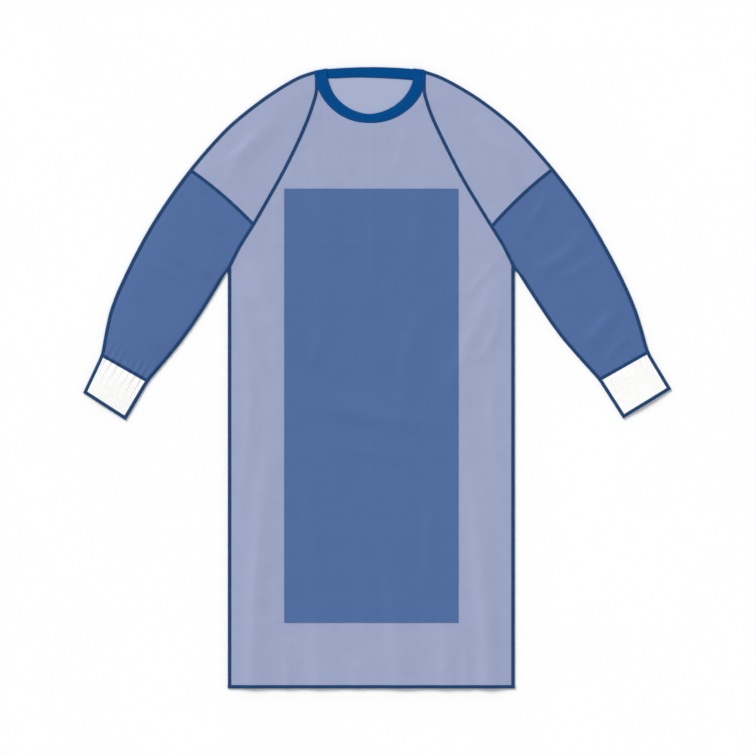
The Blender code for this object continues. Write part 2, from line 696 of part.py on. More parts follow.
def make_raglan_tape(side, panel, sleeve):
    """The tape over the front raglan seam, half on the panel and half on the sleeve."""
    count = row_of(ARMPIT) + 1
    edge, inner = (0, 1) if side == "right" else (-1, -2)
    body_edge, sleeve_edge = panel[:count, edge], sleeve[:count, -1]
    seam = 0.5 * (body_edge + sleeve_edge)
    seam[:, 2] = np.maximum(body_edge[:, 2], sleeve_edge[:, 2])
    runs = [beside(body_edge, panel[:count, inner]), seam, beside(sleeve_edge, sleeve[:count, -2])]
    for run in runs:
        run[0] += (run[1] - run[0]) * TAPE_START
    tape(f"raglan_tape_{side}", *runs)


def make_joint_tape(side, sleeve):
    """The tape over the seam between the upper and the lower sleeve, up to the raglan tape."""
    row = row_of(JOINT)
    seam = sleeve[row]
    runs = [beside(seam, sleeve[row - 1]), seam.copy(), beside(seam, sleeve[row + 1])]
    for run in runs:
        run[-1] -= unit(run[-1] - run[-2]) * (TAPE_HALF_WIDTH + 2.0 * SEAM_GAP)
    tape(f"sleeve_joint_tape_{side}", *runs)


def make_cuff_tape(side, sleeve):
    """The tape over the seam between the lower sleeve and the cuff."""
    joint_outer, joint_inner, end_outer, _ = cuff_corners(side)
    knots = np.linspace(0.0, 1.0, SLEEVE_COLUMNS + 1)
    top = np.maximum(cuff_height(joint_outer, joint_inner, knots), sleeve[-1, :, 2])
    on_cuff = between(joint_outer, joint_inner, knots) + unit(end_outer - joint_outer) * TAPE_HALF_WIDTH
    seam = np.column_stack((sleeve[-1, :, :2], top))
    tape(f"cuff_joint_tape_{side}", beside(sleeve[-1], sleeve[-2]), seam, np.column_stack((on_cuff, top)))


SLEEVE_STATIONS = sleeve_stations()
BOUND_EDGES = bound_edges()

clear_scene()
GOWN = new_collection("surgical_gown")
front_panel = make_body()
make_reinforcement(front_panel)
make_neckband(front_panel)
make_hem_bindings(front_panel)
for gown_side in SIDE_SIGN:
    front_sleeve = make_sleeve(gown_side)
    make_cuff(gown_side)
    make_raglan_tape(gown_side, front_panel, front_sleeve)
    make_joint_tape(gown_side, front_sleeve)
    make_cuff_tape(gown_side, front_sleeve)
    make_sleeve_bindings(gown_side)
    make_side_binding(gown_side)
    make_cuff_end_bindings(gown_side)
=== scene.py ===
"""Finish of the surgical gown, lying flat on its back.

Each solid of the frame gives its outline to a piece of cloth, knit or tape that lies in its place, with
creases, ribs, stitches and a material of its own. Plans and heights are in millimetres, meshes in metres.
"""

import math
from collections import namedtuple

import bmesh
import bpy
import numpy as np
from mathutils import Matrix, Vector, noise
from numpy.linalg import norm


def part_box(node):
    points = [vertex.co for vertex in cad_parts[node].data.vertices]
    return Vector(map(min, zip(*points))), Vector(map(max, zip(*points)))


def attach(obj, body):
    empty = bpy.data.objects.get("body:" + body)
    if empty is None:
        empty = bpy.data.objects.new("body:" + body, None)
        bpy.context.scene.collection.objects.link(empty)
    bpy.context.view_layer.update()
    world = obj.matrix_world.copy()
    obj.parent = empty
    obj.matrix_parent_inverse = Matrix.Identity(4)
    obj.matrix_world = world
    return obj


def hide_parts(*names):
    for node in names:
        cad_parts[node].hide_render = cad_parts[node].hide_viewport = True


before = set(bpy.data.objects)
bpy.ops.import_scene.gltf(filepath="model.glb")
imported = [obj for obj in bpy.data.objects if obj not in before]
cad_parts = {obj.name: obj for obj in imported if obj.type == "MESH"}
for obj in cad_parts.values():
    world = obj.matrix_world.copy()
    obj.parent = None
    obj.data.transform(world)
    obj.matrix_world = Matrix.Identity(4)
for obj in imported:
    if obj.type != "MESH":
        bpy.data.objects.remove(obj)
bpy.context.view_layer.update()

MM = 0.001
TURN = 2.0 * math.pi
SIDES = ("right", "left")
NECK = (0.0, 613.0)  # outlines start at their side nearest to this place
RIGHT_HAND = (-1000.0, 0.0)  # or to this one, on strips that run across the gown

# Reading an outline from a solid
WELD = 1e-5  # metres
FACING_UP = 0.35  # least upward part of an upper face's normal
PANEL_REACH = 12.0  # over which a panel's corner is seen to turn
STRIP_REACH = 2.0  # and a strip's
KINK = 25.0  # degrees: a sharper turn inside a side is kept
EASE = 11.0  # a softer one is rounded over this reach

# Spacing of the points
CLOTH_STEP = 4.5
BACK_STEP = 12.0
STRIP_STEP = 4.0
RIB_STEP = 0.45

# Cloth, as in the solids
CLOTH = 1.2
REINFORCEMENT_CLOTH = 1.0
SEAM_GAP = 0.3
BINDING_HEIGHT = 3.9
BINDING_BACK_HEIGHT = 1.4
HEM_FRONT_HEIGHT = 1.8
CUFF_END_HEIGHT = 2.1
TAPE_THICKNESS = 0.9
BAND_THICKNESS = 2.4
BAND_BACK_THICKNESS = 1.8
OUTER_FLAP_EDGE = -80.0
FLAP_RISE = 25.0

# Heights of the front layer's top face
EDGE_LEVEL = 3.4
FRONT_LEVEL = 4.7
EDGE_ROLL = 40.0
FOLD_FADE = 50.0
LOWEST_RELIEF = -0.7  # the front layer never reaches down into the back layer

# Soft folds of the front layer. Each is a ridge from one place to another that bows to its left, steeper on
# one side. The first sixteen are those of the solids.
Fold = namedtuple("Fold", "x0 y0 x1 y1 bow height half_width")
FOLDS = [Fold(*row) for row in (
    (-250, 225, -118, 14, -9, 3.2, 21), (252, 212, 132, -46, 10, 2.9, 22),
    (-204, -120, -240, -720, -9, 3.6, 21), (18, -290, 64, -720, 8, 2.7, 24),
    (198, -190, 234, -720, 10, 3.8, 20), (-150, -58, 132, -112, 9, 2.3, 22),
    (-132, 452, -74, 250, 8, 1.9, 22), (120, 440, 96, 214, -8, 1.7, 23),
    (-108, -430, -96, -720, -6, 2.2, 22), (146, -470, 136, -720, 6, 2.0, 21),
    (-184, 522, -292, 388, -9, 2.4, 18), (200, 512, 298, 372, 8, 2.2, 18),
    (-416, 272, -318, 198, -6, 2.5, 15), (426, 282, 326, 212, 7, 2.3, 15),
    (-488, 134, -418, 40, 5, 2.3, 14), (500, 142, 424, 50, -6, 2.4, 14),
    (-268, 196, -205, 0, -14, 1.9, 12), (-262, 232, -196, 142, 6, 1.3, 9),
    (266, 188, 216, 30, 12, 1.8, 11), (258, 238, 192, 160, -5, 1.4, 9),
    (-84, 508, -34, 408, -6, 1.0, 12), (66, 502, 40, 404, 5, 0.9, 12),
    (-244, 30, -262, -230, 9, 1.7, 13), (246, 0, 258, -200, -9, 1.5, 13),
    (-98, 196, -134, -30, 12, 1.4, 18), (104, 150, 62, -70, -11, 1.3, 19),
    (8, 330, -22, 120, 7, 1.1, 20), (-90, -132, 96, -164, -7, 1.2, 16),
    (-128, -210, -92, -420, -9, 1.5, 17), (-34, -236, -12, -520, 8, 1.2, 19),
    (118, -226, 100, -440, 7, 1.4, 17), (-172, -520, -176, -720, 5, 1.5, 12),
    (-30, -560, -38, -720, 3, 1.3, 13), (192, -540, 186, -720, -4, 1.2, 11),
    (-232, 488, -306, 424, 6, 1.4, 10), (228, 480, 312, 424, -5, 1.3, 10),
    (-356, 372, -296, 292, -7, 1.5, 10), (354, 380, 300, 288, 6, 1.4, 10),
    (-446, 240, -364, 186, -5, 1.6, 9), (452, 244, 372, 198, 6, 1.5, 9),
    (-452, 300, -392, 262, 4, 1.1, 8), (456, 304, 398, 272, -4, 1.1, 8),
    (-514, 80, -456, 24, 4, 1.3, 8), (526, 90, 466, 30, -4, 1.3, 8),
)]
CREST_POINTS = 9
STEEP_SIDE, FLAT_SIDE = 0.75, 1.3  # widths of its two sides, as shares of the half width
FOLD_MARGIN = 3.0  # half widths beyond which it is not felt
FOLD_TAPER = 0.6

# Faint lines where the gown was folded in its pack: x or y of each line, and how much it stands up or sinks
PACK_LINES_X = ((-191.0, 0.4), (-96.0, -0.36), (3.0, 0.45), (99.0, -0.34), (190.0, 0.38))
PACK_LINES_Y = ((455.0, -0.3), (268.0, 0.38), (92.0, -0.36), (-84.0, 0.34), (-262.0, -0.38), (-440.0, 0.36))
PACK_LINE_WIDTH = 4.5
PACK_MEAN, PACK_SWING = 0.55, 0.45  # share of a line's height, and how far it swings along the line
PACK_WAVE, PACK_PHASE = 93.0, 2.1

# Crumple of the bonded cloth, and the puckers along its seams
CRUMPLE_SIZE, CRUMPLE_HEIGHT = 80.0, 0.6
CRUMPLE_RIDGES = (1.0, 2.1, 3, 1.0, 2.0)  # roughness, spacing, octaves, offset and gain
CRUMPLE_MEAN = 0.8
SWELL_SIZE, SWELL_HEIGHT, SWELL_PLANE = 190.0, 1.1, 40.0
PUCKER_REACH, PUCKER_HEIGHT = 9.0, 0.3
PUCKER_WAVES = ((15.7, 0.3, 1.0), (23.9, 1.9, 0.7))  # wavelength, phase, share
TUCK_REACH, TUCK_HEIGHT, TUCK_PITCH = 34.0, 0.85, 13.5  # small tucks where a sleeve is eased into its cuff
TUCK_SWING, TUCK_WAVE = 0.3, 11.0  # how their height differs along the seam
BOUND_FADE, BOUND_SHARE = 14.0, 0.35  # puckers and tucks get lower towards a bound edge

# Knit
CUFF_RIBS = 22
CUFF_RIB_HEIGHT = 0.7
CUFF_RIB_START, CUFF_RIB_FULL = 3.0, 9.0
CUFF_RIB_ROUNDNESS = 0.8
POINTS_A_RIB = 8
BAND_RIB_PITCH = 2.7
BAND_RIB_HEIGHT = 0.2
BAND_SEAM = 0.12  # share of the width at which the band is stitched down
BAND_OUTER_END, BAND_INNER_END = 0.6, 1.5  # by which its front run is longer than the solid
BAND_RISE_FROM, BAND_RISE_REACH = 550.0, 25.0  # where the front run rises towards the shoulders
BAND_THIN_FROM, BAND_THIN_REACH, BAND_THINNING = 588.0, 18.0, 0.35  # where it gets thinner
BAND_DROP_FROM, BAND_DROP_REACH = 586.0, 22.0  # where it sinks onto the back run
BAND_DROP_SHARE = 0.6  # share of its width over which it comes to do so
BAND_TURN, BAND_TURN_SINK = 3.0, 0.5  # and where its end turns down to it
LOWEST_KNIT = 0.1
BAND_RIM, BAND_RIM_REACH = 4.3, 12.0  # height to which the cloth comes at the band's edge
NECK_LINE_TOP = 572.0  # and how far up beside the band it does

# The front run is a little wider than its solid: share of its length, and growth outwards and inwards
BAND_GROWTH = (
    (0.0, 0.0, 0.0), (0.09, 0.0, 1.3), (0.15, 0.0, 1.7), (0.2, 0.3, 1.5), (0.3, 1.2, 1.3), (0.39, 1.5, 0.6),
    (0.48, 0.9, -0.5), (0.54, 1.0, 0.3), (0.62, 1.3, 1.7), (0.72, 1.2, 2.1), (0.8, 2.0, 1.6),
    (0.86, 1.6, 1.0), (0.91, 0.0, 0.1), (1.0, 0.0, 0.0))
BACK_BAND_GROWTH = ((-20.0, 0.2), (10.0, 1.4), (83.0, 3.2))  # x, and growth down the page of the back runs

# Sections of the strips: share of the width from the outer or left side, and share of the height
BINDING_RING = np.array((
    (0.04, 0.0), (1.0, 0.0), (1.0, 0.94), (0.985, 0.985), (0.94, 1.0), (0.8, 1.0), (0.62, 1.0), (0.4, 1.0),
    (0.22, 0.96), (0.1, 0.85), (0.02, 0.66), (0.0, 0.42), (0.01, 0.18)))
TAPE_RING = np.array((
    (0.0, 0.0), (1.0, 0.0), (1.0, 0.55), (0.96, 0.86), (0.86, 1.0), (0.68, 1.0), (0.5, 0.92), (0.32, 1.0),
    (0.14, 1.0), (0.04, 0.86), (0.0, 0.55)))
BAND_RING = np.array((
    (0.0, 0.3), (0.03, 0.08), (0.1, 0.0), (0.9, 0.0), (0.97, 0.08), (1.0, 0.3), (1.0, 0.6), (0.975, 0.8),
    (0.92, 0.93), (0.8, 1.0), (0.65, 1.04), (0.5, 1.05), (0.35, 1.04), (0.2, 1.0), (0.08, 0.93), (0.025, 0.8),
    (0.0, 0.6)))

# Sewing
STITCH_PITCH = 3.1
STITCH_LENGTH = 2.3
STITCH_RADIUS = 0.24
STITCH_SECTIONS = ((-0.5, 0.35), (-0.28, 1.0), (0.28, 1.0), (0.5, 0.35))
STITCH_SIDES = 5
STITCH_RISE = 0.08
BINDING_STITCHES = 0.78  # share of the width at which a binding is stitched
TAPE_STITCHES = (("a", 0.2), ("b", 0.8))  # and those at which a tape is

# The cloth runs on under its bindings and under the neck band
CUT_INSET = 2.5  # from a bound edge in to the cloth inside its binding
CUT_SINK = 1.0  # by which that cloth is pressed down
BOUND_REACH = 7.0
UNDER_BAND = 2.4  # by which the cloth runs on under the neck band
FLAP_SINK = 0.5  # and by which the inner back flap is pressed down there

# Each binding has a lip that follows the cloth. It starts under what crosses it, with edges that reach
# differently far, and may be narrower there: width is a share.
BINDING_WIDTH = 5.6
BINDING_LAP = 1.3
BINDING_LIP = 0.45
LIP_FROM, LIP_REACH = 0.2, 0.6  # shares of the width over which it comes down to its lip
HEM_DIP = 0.3
Start = namedtuple("Start", "outer inner width")
BINDING_STARTS = {
    "overarm": Start(3.3, 4.5, 1.0), "underarm": Start(3.2, 3.2, 0.55), "side": Start(2.6, 8.5, 1.0)}
NARROW_REACH = 26.0
RIPPLES = ((0.16, 17.3, 0.0), (0.1, 29.0, 1.0))  # height, wavelength, phase

# Each run of tape has what is added before and after it, how much deeper it lies, and the share of its width
# that is left at its end. Its ends go under what they meet, without stitches.
TAPE_HALF_WIDTH = 3.35
TAPE_SINK = 0.3
TAPE_STEP = 2.2
TAPE_END_REACH = 9.0
TAPE_TUCK, TAPE_TUCK_SINK = 3.2, 0.6
Run = namedtuple("Run", "name before after sunk end")
TAPE_RUNS = (Run("raglan", 0.0, 10.5, 0.0, 0.4), Run("sleeve_joint", 3.0, 2.0, 0.2, 1.0),
             Run("cuff_joint", 1.5, 1.5, 0.1, 1.0))

# The raglan tape turns to the shoulder at its start. It leaves its solid there by some points, is drawn
# outwards, and ends inwards and up from the shoulder.
RAGLAN_CUT = 5
RAGLAN_OUT, RAGLAN_OUT_REACH = 1.3, 60.0
TO_SHOULDER = (4.3, -2.0)


# ---- lines in the plan

def travelled(line):
    """Distance along a line of points, at each of them."""
    return np.concatenate(([0.0], np.cumsum(norm(np.diff(line[:, :2], axis=0), axis=1))))


def units(ways):
    """Directions, each brought to a length of one."""
    return ways / norm(ways, axis=1, keepdims=True)


def place_on(line, places):
    """Points of a line at the given distances along it."""
    known = travelled(line)
    return np.column_stack([np.interp(places, known, line[:, axis]) for axis in range(line.shape[1])])


def lengthened(line, before=0.0, after=0.0):
    """A line that runs straight on past its ends."""
    for distance in (before, after):
        if distance:
            way = line[0] - line[1]
            line = np.concatenate(([line[0] + way * distance / norm(way)], line))
        line = line[::-1]
    return line


def cross(a, b):
    return a[..., 0] * b[..., 1] - a[..., 1] * b[..., 0]


def turn_at(line, places, reach):
    """Degrees by which a line turns at each place, seen over a short reach on both sides."""
    here = place_on(line, places)[:, :2]
    before = here - place_on(line, places - reach)[:, :2]
    after = place_on(line, places + reach)[:, :2] - here
    return np.degrees(np.abs(np.arctan2(cross(before, after), (before * after).sum(axis=1))))


def eased(line, reach):
    """A line whose points are each the mean of those up to a reach away, with its ends kept."""
    reach = min(reach, (len(line) - 1) // 2)
    if reach < 1:
        return line
    before = 2 * line[0] - line[reach:0:-1]
    after = 2 * line[-1] - line[-2:-reach - 2:-1]
    sums = np.cumsum(np.concatenate((0 * line[:1], before, line, after)), axis=0)
    return (sums[2 * reach + 1:] - sums[:-2 * reach - 1]) / (2 * reach + 1)


def outline(node):
    """The edge of a solid's upper face: its points in order, with the face on their left."""
    mesh = bmesh.new()
    mesh.from_mesh(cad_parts[node].data)
    bmesh.ops.remove_doubles(mesh, verts=mesh.verts, dist=WELD)
    mesh.normal_update()
    mesh.verts.index_update()
    neighbours = {}
    for edge in mesh.edges:
        if sum(face.normal.z > FACING_UP for face in edge.link_faces) == 1:
            first, second = (vertex.index for vertex in edge.verts)
            neighbours.setdefault(first, []).append(second)
            neighbours.setdefault(second, []).append(first)
    points = np.array([vertex.co for vertex in mesh.verts]) / MM
    mesh.free()
    lowest = min(neighbours, key=lambda index: points[index, 1])
    loop, heading = [lowest], np.array((1.0, 0.0))
    while len(loop) == 1 or loop[-1] != lowest:
        ways = {there: (points[there] - points[loop[-1]])[:2] for there in neighbours[loop[-1]]
                if there not in loop[-2:]}
        there = min(ways, key=lambda index: math.atan2(cross(heading, ways[index]), heading @ ways[index]))
        heading = ways[there]
        loop.append(there)
    return points[loop[:-1]]


def sides_of(node, reach):
    """The four sides of a solid's outline, in order, parted at its sharpest corners."""
    points = outline(node)
    count = len(points)
    thrice = np.concatenate((points, points, points))
    places = travelled(thrice)
    round_trip = places[count]
    angles = turn_at(thrice, places[count:2 * count], reach)
    corners = []
    for index in np.argsort(-angles):
        away = [abs(places[index] - places[other]) for other in corners]
        if all(min(gap, round_trip - gap) > reach for gap in away):
            corners.append(int(index))
        if len(corners) == 4:
            break
    corners.sort()
    return [thrice[here:there + 1] for here, there in zip(corners, corners[1:] + [corners[0] + count])]


def four_sides(node, near=NECK, strip=False):
    """Start, end, left and right side of an outline.

    Start and end run to the right, and the others from the start.
    """
    runs = sides_of(node, STRIP_REACH if strip else PANEL_REACH)
    lengths = [travelled(run)[-1] for run in runs]
    choices = range(4)
    if strip:
        choices = (0, 2) if lengths[0] + lengths[2] < lengths[1] + lengths[3] else (1, 3)
    middles = [place_on(run, [length / 2])[0, :2] for run, length in zip(runs, lengths)]
    first = min(choices, key=lambda index: norm(middles[index] - near))
    start, right, end, left = (runs[(first + step) % 4] for step in range(4))
    end, left = end[::-1], left[::-1]
    if cross((left[-1] - left[0])[:2], (start[-1] - start[0])[:2]) < 0:
        start, end, left, right = start[::-1], end[::-1], right, left
    return start, end, left, right


def kinks(line):
    """Shares of a line's length at which it turns sharply."""
    places = travelled(line)
    inner = places[1:-1]
    sharp = inner[turn_at(line, inner, STRIP_REACH) > KINK]
    return sharp / places[-1]


def matched(first, second, step):
    """Both lines as points at matching places: sharp turns are kept, and small ones rounded off."""
    marks = [kinks(line) for line in (first, second)]
    more = max(marks, key=len)
    marks = [mark if len(mark) == len(more) else more for mark in marks]
    knots = [np.concatenate(([0.0], mark, [1.0])) * travelled(line)[-1]
             for mark, line in zip(marks, (first, second))]
    counts = [max(1, round(span / step)) for span in np.maximum(*(np.diff(knot) for knot in knots))]
    made = []
    for line, knot in zip((first, second), knots):
        stretches = [eased(place_on(line, np.linspace(start, end, count + 1)), round(EASE / step))
                     for start, end, count in zip(knot[:-1], knot[1:], counts)]
        made.append(np.concatenate([stretches[0]] + [stretch[1:] for stretch in stretches[1:]]))
    return made


def patch(node, step, across_step=None, near=NECK):
    """A grid of plan points that fills a solid's outline: rows from its start, columns from its left."""
    start, end, left, right = four_sides(node, near)
    start, end = (line[:, :2] for line in matched(start, end, across_step or step))
    left, right = (line[:, :2] for line in matched(left, right, step))
    u = np.linspace(0.0, 1.0, len(start))[None, :, None]
    v = (travelled(left) / travelled(left)[-1])[:, None, None]
    corners = ((1 - v) * ((1 - u) * start[0] + u * start[-1]) + v * ((1 - u) * end[0] + u * end[-1]))
    return (1 - v) * start[None] + v * end[None] + (1 - u) * left[:, None] + u * right[:, None] - corners


def strip_sides(node, step=STRIP_STEP, near=NECK):
    """The two long sides of a strip's outline as matching points, the lower of the two first."""
    _, _, left, right = four_sides(node, near, strip=True)
    left, right = matched(left, right, step)
    return (left, right) if left[:, 2].mean() <= right[:, 2].mean() else (right, left)


# ---- height of the front layer

def smooth_step(value):
    value = np.clip(value, 0.0, 1.0)
    return value * value * (3.0 - 2.0 * value)


def nearest(points, line):
    """Signed distance from each point to a line, and the place along the line that is nearest to it."""
    best = np.full(len(points), np.inf)
    signed, place = np.zeros(len(points)), np.zeros(len(points))
    done = travelled(line)
    for index, (start, end) in enumerate(zip(line[:-1, :2], line[1:, :2])):
        way = end - start
        share = np.clip((points - start) @ way / (way @ way), 0.0, 1.0)
        away = points - start - share[:, None] * way
        distance = norm(away, axis=1)
        closer = distance < best
        best[closer] = distance[closer]
        signed[closer] = np.copysign(distance, cross(way, away))[closer]
        place[closer] = (done[index] + share * (done[index + 1] - done[index]))[closer]
    return signed, place


def bowed(fold):
    """A fold's crest as a line of points."""
    start, end = np.array((fold.x0, fold.y0), float), np.array((fold.x1, fold.y1), float)
    way = end - start
    left = np.array((-way[1], way[0])) / norm(way)
    share = np.linspace(0.0, 1.0, CREST_POINTS)[:, None]
    return start + way * share + left * fold.bow * 4.0 * share * (1.0 - share)


def fold_relief(points):
    relief = np.zeros(len(points))
    for fold in FOLDS:
        line = bowed(fold)
        margin = FOLD_MARGIN * fold.half_width
        near = ((points > line.min(axis=0) - margin) & (points < line.max(axis=0) + margin)).all(axis=1)
        distance, place = nearest(points[near], line)
        taper = np.sin(math.pi * np.clip(place / travelled(line)[-1], 0.0, 1.0)).clip(0.0) ** FOLD_TAPER
        width = fold.half_width * np.where(distance > 0, FLAT_SIDE, STEEP_SIDE)
        relief[near] += fold.height * taper * np.exp(-(distance / width) ** 2)
    return relief


def pack_relief(points):
    """Faint pressed lines of the folded pack, which fade in and out along their length."""
    relief = np.zeros(len(points))
    for axis, lines in enumerate((PACK_LINES_X, PACK_LINES_Y)):
        for number, (place, height) in enumerate(lines):
            wave = np.sin(points[:, 1 - axis] / PACK_WAVE + PACK_PHASE * number + axis)
            fade = np.exp(-np.abs(points[:, axis] - place) / PACK_LINE_WIDTH)
            relief += height * (PACK_MEAN + PACK_SWING * wave) * fade
    return relief


def crumple_relief(points):
    """Low irregular ridges and a slow swell."""
    ridges = [noise.ridged_multi_fractal(Vector((x, y, 0.0)) / CRUMPLE_SIZE, *CRUMPLE_RIDGES)
              for x, y in points]
    swell = [noise.noise(Vector((x, y, SWELL_PLANE)) / SWELL_SIZE) for x, y in points]
    return CRUMPLE_HEIGHT * (np.array(ridges) - CRUMPLE_MEAN) + SWELL_HEIGHT * np.array(swell)


def pucker_relief(points):
    """Puckers along the seams, and small tucks above the cuffs."""
    relief = np.zeros(len(points))
    for line in SEAM_LINES:
        distance, place = nearest(points, line)
        waves = sum(share * np.sin(TURN * place / length + phase) for length, phase, share in PUCKER_WAVES)
        relief += PUCKER_HEIGHT * waves * np.exp(-np.abs(distance) / PUCKER_REACH)
    for line in CUFF_LINES:
        distance, place = nearest(points, line)
        swing = 1.0 - TUCK_SWING + TUCK_SWING * np.sin(place / TUCK_WAVE)
        tucks = np.cos(TURN * place / TUCK_PITCH) * swing
        relief += TUCK_HEIGHT * tucks * np.exp(-(distance / TUCK_REACH) ** 2)
    return relief * (BOUND_SHARE + (1.0 - BOUND_SHARE) * smooth_step(to_bound_edge(points) / BOUND_FADE))


def to_bound_edge(points):
    """Distance from each point to the nearest bound edge."""
    return np.min([np.abs(nearest(points, line)[0]) for line in BOUND_LINES], axis=0)


def front_height(points):
    """Height of the front layer's top face over each plan point."""
    edge = to_bound_edge(points)
    level = EDGE_LEVEL + (FRONT_LEVEL - EDGE_LEVEL) * smooth_step(edge / EDGE_ROLL)
    relief = fold_relief(points) + pack_relief(points) + crumple_relief(points)
    relief = relief * smooth_step(edge / FOLD_FADE) + pucker_relief(points)
    return level + np.maximum(relief, LOWEST_RELIEF)


def front_line(line, rise=0.0):
    """A plan line lifted to the front layer."""
    return np.column_stack((line[:, :2], front_height(line[:, :2]) + rise))


def raised(grid):
    """A plan lifted to the front layer, pressed down inside bindings and brought to the neck band's rim."""
    points = grid.reshape(-1, 2)
    pressed = 1.0 - smooth_step((to_bound_edge(points) - CUT_INSET) / (BOUND_REACH - CUT_INSET))
    heights = front_height(points) - CUT_SINK * pressed
    at_band = 1.0 - smooth_step(np.abs(nearest(points, NECK_LINE)[0]) / BAND_RIM_REACH)
    heights += at_band * (BAND_RIM + band_rise(points[:, 1]) - heights)
    return laid(grid, heights.reshape(grid.shape[:2]))


def band_rise(y):
    """How far the neck band's front run rises towards the shoulders."""
    return smooth_step((y - BAND_RISE_FROM) / BAND_RISE_REACH)


def laid(grid, level):
    """A plan at one height, or at a height of each point's own."""
    heights = np.broadcast_to(level, grid.shape[:2])
    return np.concatenate((grid, heights[..., None]), axis=2)


def on_outer_flap(x, height):
    """How far the inner flap is lifted at x by the outer one."""
    return (height + SEAM_GAP) * smooth_step((x - OUTER_FLAP_EDGE + FLAP_RISE) / FLAP_RISE)


# ---- materials

class Shader:
    """A Principled material whose nodes are added and joined in one line each."""

    def __init__(self, name, roughness, gloss, sheen):
        self.material = bpy.data.materials.new(name)
        self.material.use_nodes = True
        self.tree = self.material.node_tree
        self.body = self.tree.nodes["Principled BSDF"]
        self.fill(self.body, {"Roughness": roughness, "Specular IOR Level": gloss,
                              "Sheen Weight": sheen, "Sheen Roughness": 0.5})

    def fill(self, node, inputs):
        """Sets each named or numbered input of a node to a value, or joins it to a socket."""
        for name, value in dict(inputs).items():
            if isinstance(value, bpy.types.NodeSocket):
                self.tree.links.new(value, node.inputs[name])
            else:
                node.inputs[name].default_value = value
        return node

    def add(self, kind, inputs=(), **settings):
        node = self.tree.nodes.new("ShaderNode" + kind)
        for name, value in settings.items():
            setattr(node, name, value)
        return self.fill(node, inputs)

    def math(self, operation, *values):
        return self.add("Math", enumerate(values), operation=operation).outputs[0]

    def plus(self, first, second):
        return self.math("ADD", first, second)

    def times(self, first, second):
        return self.math("MULTIPLY", first, second)

    def waves(self, turns):
        """The sine of a number of turns, brought to between nought and one."""
        return self.ranged(self.math("SINE", self.times(turns, TURN)), -1.0, 1.0)

    def mixed(self, share, first, second):
        return self.add("Mix", {0: share, 6: first, 7: second}, data_type="RGBA").outputs[2]

    def ranged(self, value, low, high, to_low=0.0, to_high=1.0):
        return self.add("MapRange", enumerate((value, low, high, to_low, to_high))).outputs[0]

    def place(self):
        """The place on the gown, in metres."""
        return self.add("TexCoord").outputs["Object"]

    def along(self):
        """The place on the piece's own cloth, in metres across and along it."""
        split = self.add("SeparateXYZ", {0: self.add("UVMap", uv_map="cloth").outputs[0]})
        return split.outputs[0], split.outputs[1]

    def mapped(self, vector, degrees, scale, kind="POINT"):
        inputs = {"Vector": vector, "Rotation": (0.0, 0.0, math.radians(degrees)), "Scale": scale}
        return self.add("Mapping", inputs, vector_type=kind).outputs[0]

    def noise(self, vector, scale, detail=2.0, roughness=0.5):
        inputs = {"Vector": vector, "Scale": scale, "Detail": detail, "Roughness": roughness}
        return self.add("TexNoise", inputs).outputs[0]

    def bump(self, height, distance, strength=1.0, normal=None):
        inputs = {"Height": height, "Distance": distance, "Strength": strength}
        if normal:
            inputs["Normal"] = normal
        return self.add("Bump", inputs).outputs[0]

    def finish(self, colour, normal, roughness=None):
        self.fill(self.body, {"Base Color": colour, "Normal": normal})
        if roughness:
            self.fill(self.body, {"Roughness": roughness})
        return self.material


def shade(colour, factor):
    return tuple(min(1.0, channel * factor) for channel in colour[:3]) + (1.0,)


FIBRE_ANGLES = (24.0, -31.0, 88.0)
FIBRE_SIZE = (0.004, 0.0003, 1.0)  # metres along and across a fibre
BOND_EDGE, BOND_CORE = 0.36, 0.24  # pitches from a bond point's middle
BOND_TONE = 0.74
CLOUD_SCALE, BROAD_SCALE = 62.0, 9.0
FIBRE_DEPTH, CLOUD_DEPTH = 0.00012, 0.0006  # metres
ROUGHNESS_SWING = 0.17


def bonded_cloth(name, colour, roughness, gloss, bond_pitch, bond_depth, clouding, waviness=0.3):
    """Nonwoven cloth: fibres laid at random, pressed together in rows of small bond points."""
    shader = Shader(name, roughness, gloss, 0.06)
    place = shader.place()
    turned = shader.mapped(place, 45.0, (1.0, 0.7, 1.0))
    cells_here = {"Vector": turned, "Scale": 1.0 / bond_pitch, "Randomness": 0.0}
    to_bond = shader.add("TexVoronoi", cells_here, voronoi_dimensions="2D").outputs[0]
    bonds = shader.ranged(to_bond, BOND_EDGE, BOND_CORE)
    strands = []
    for angle in FIBRE_ANGLES:
        drawn = shader.mapped(place, angle, FIBRE_SIZE, "TEXTURE")
        strands.append(shader.ranged(shader.noise(drawn, 1.0, 1.0), 0.5, 0.66))
    fibres = shader.plus(strands[0], shader.plus(strands[1], strands[2]))
    fibres = shader.ranged(fibres, 0.0, 2.0)
    clouds = shader.noise(place, CLOUD_SCALE, 5.0, 0.62)
    broad = shader.noise(place, BROAD_SCALE, 2.0)
    mottle = shader.plus(shader.times(clouds, 0.6), shader.times(broad, 0.4))
    tones = (1.0 - clouding, 1.0 + clouding, 1.0 + 3.0 * clouding, BOND_TONE)
    dull, pale, fibre_colour, bond_colour = (shade(colour, tone) for tone in tones)
    tint = shader.mixed(shader.ranged(mottle, 0.3, 0.7), dull, pale)
    tint = shader.mixed(shader.times(fibres, 0.5), tint, fibre_colour)
    tint = shader.mixed(shader.times(bonds, 0.3), tint, bond_colour)
    relief = shader.math("SUBTRACT", shader.times(fibres, 0.4), shader.times(bonds, bond_depth))
    normal = shader.bump(relief, FIBRE_DEPTH, 0.8, shader.bump(clouds, CLOUD_DEPTH, waviness))
    uneven = ROUGHNESS_SWING * waviness
    matt = shader.ranged(clouds, 0.3, 0.7, roughness - uneven, roughness + uneven)
    return shader.finish(tint, normal, matt)


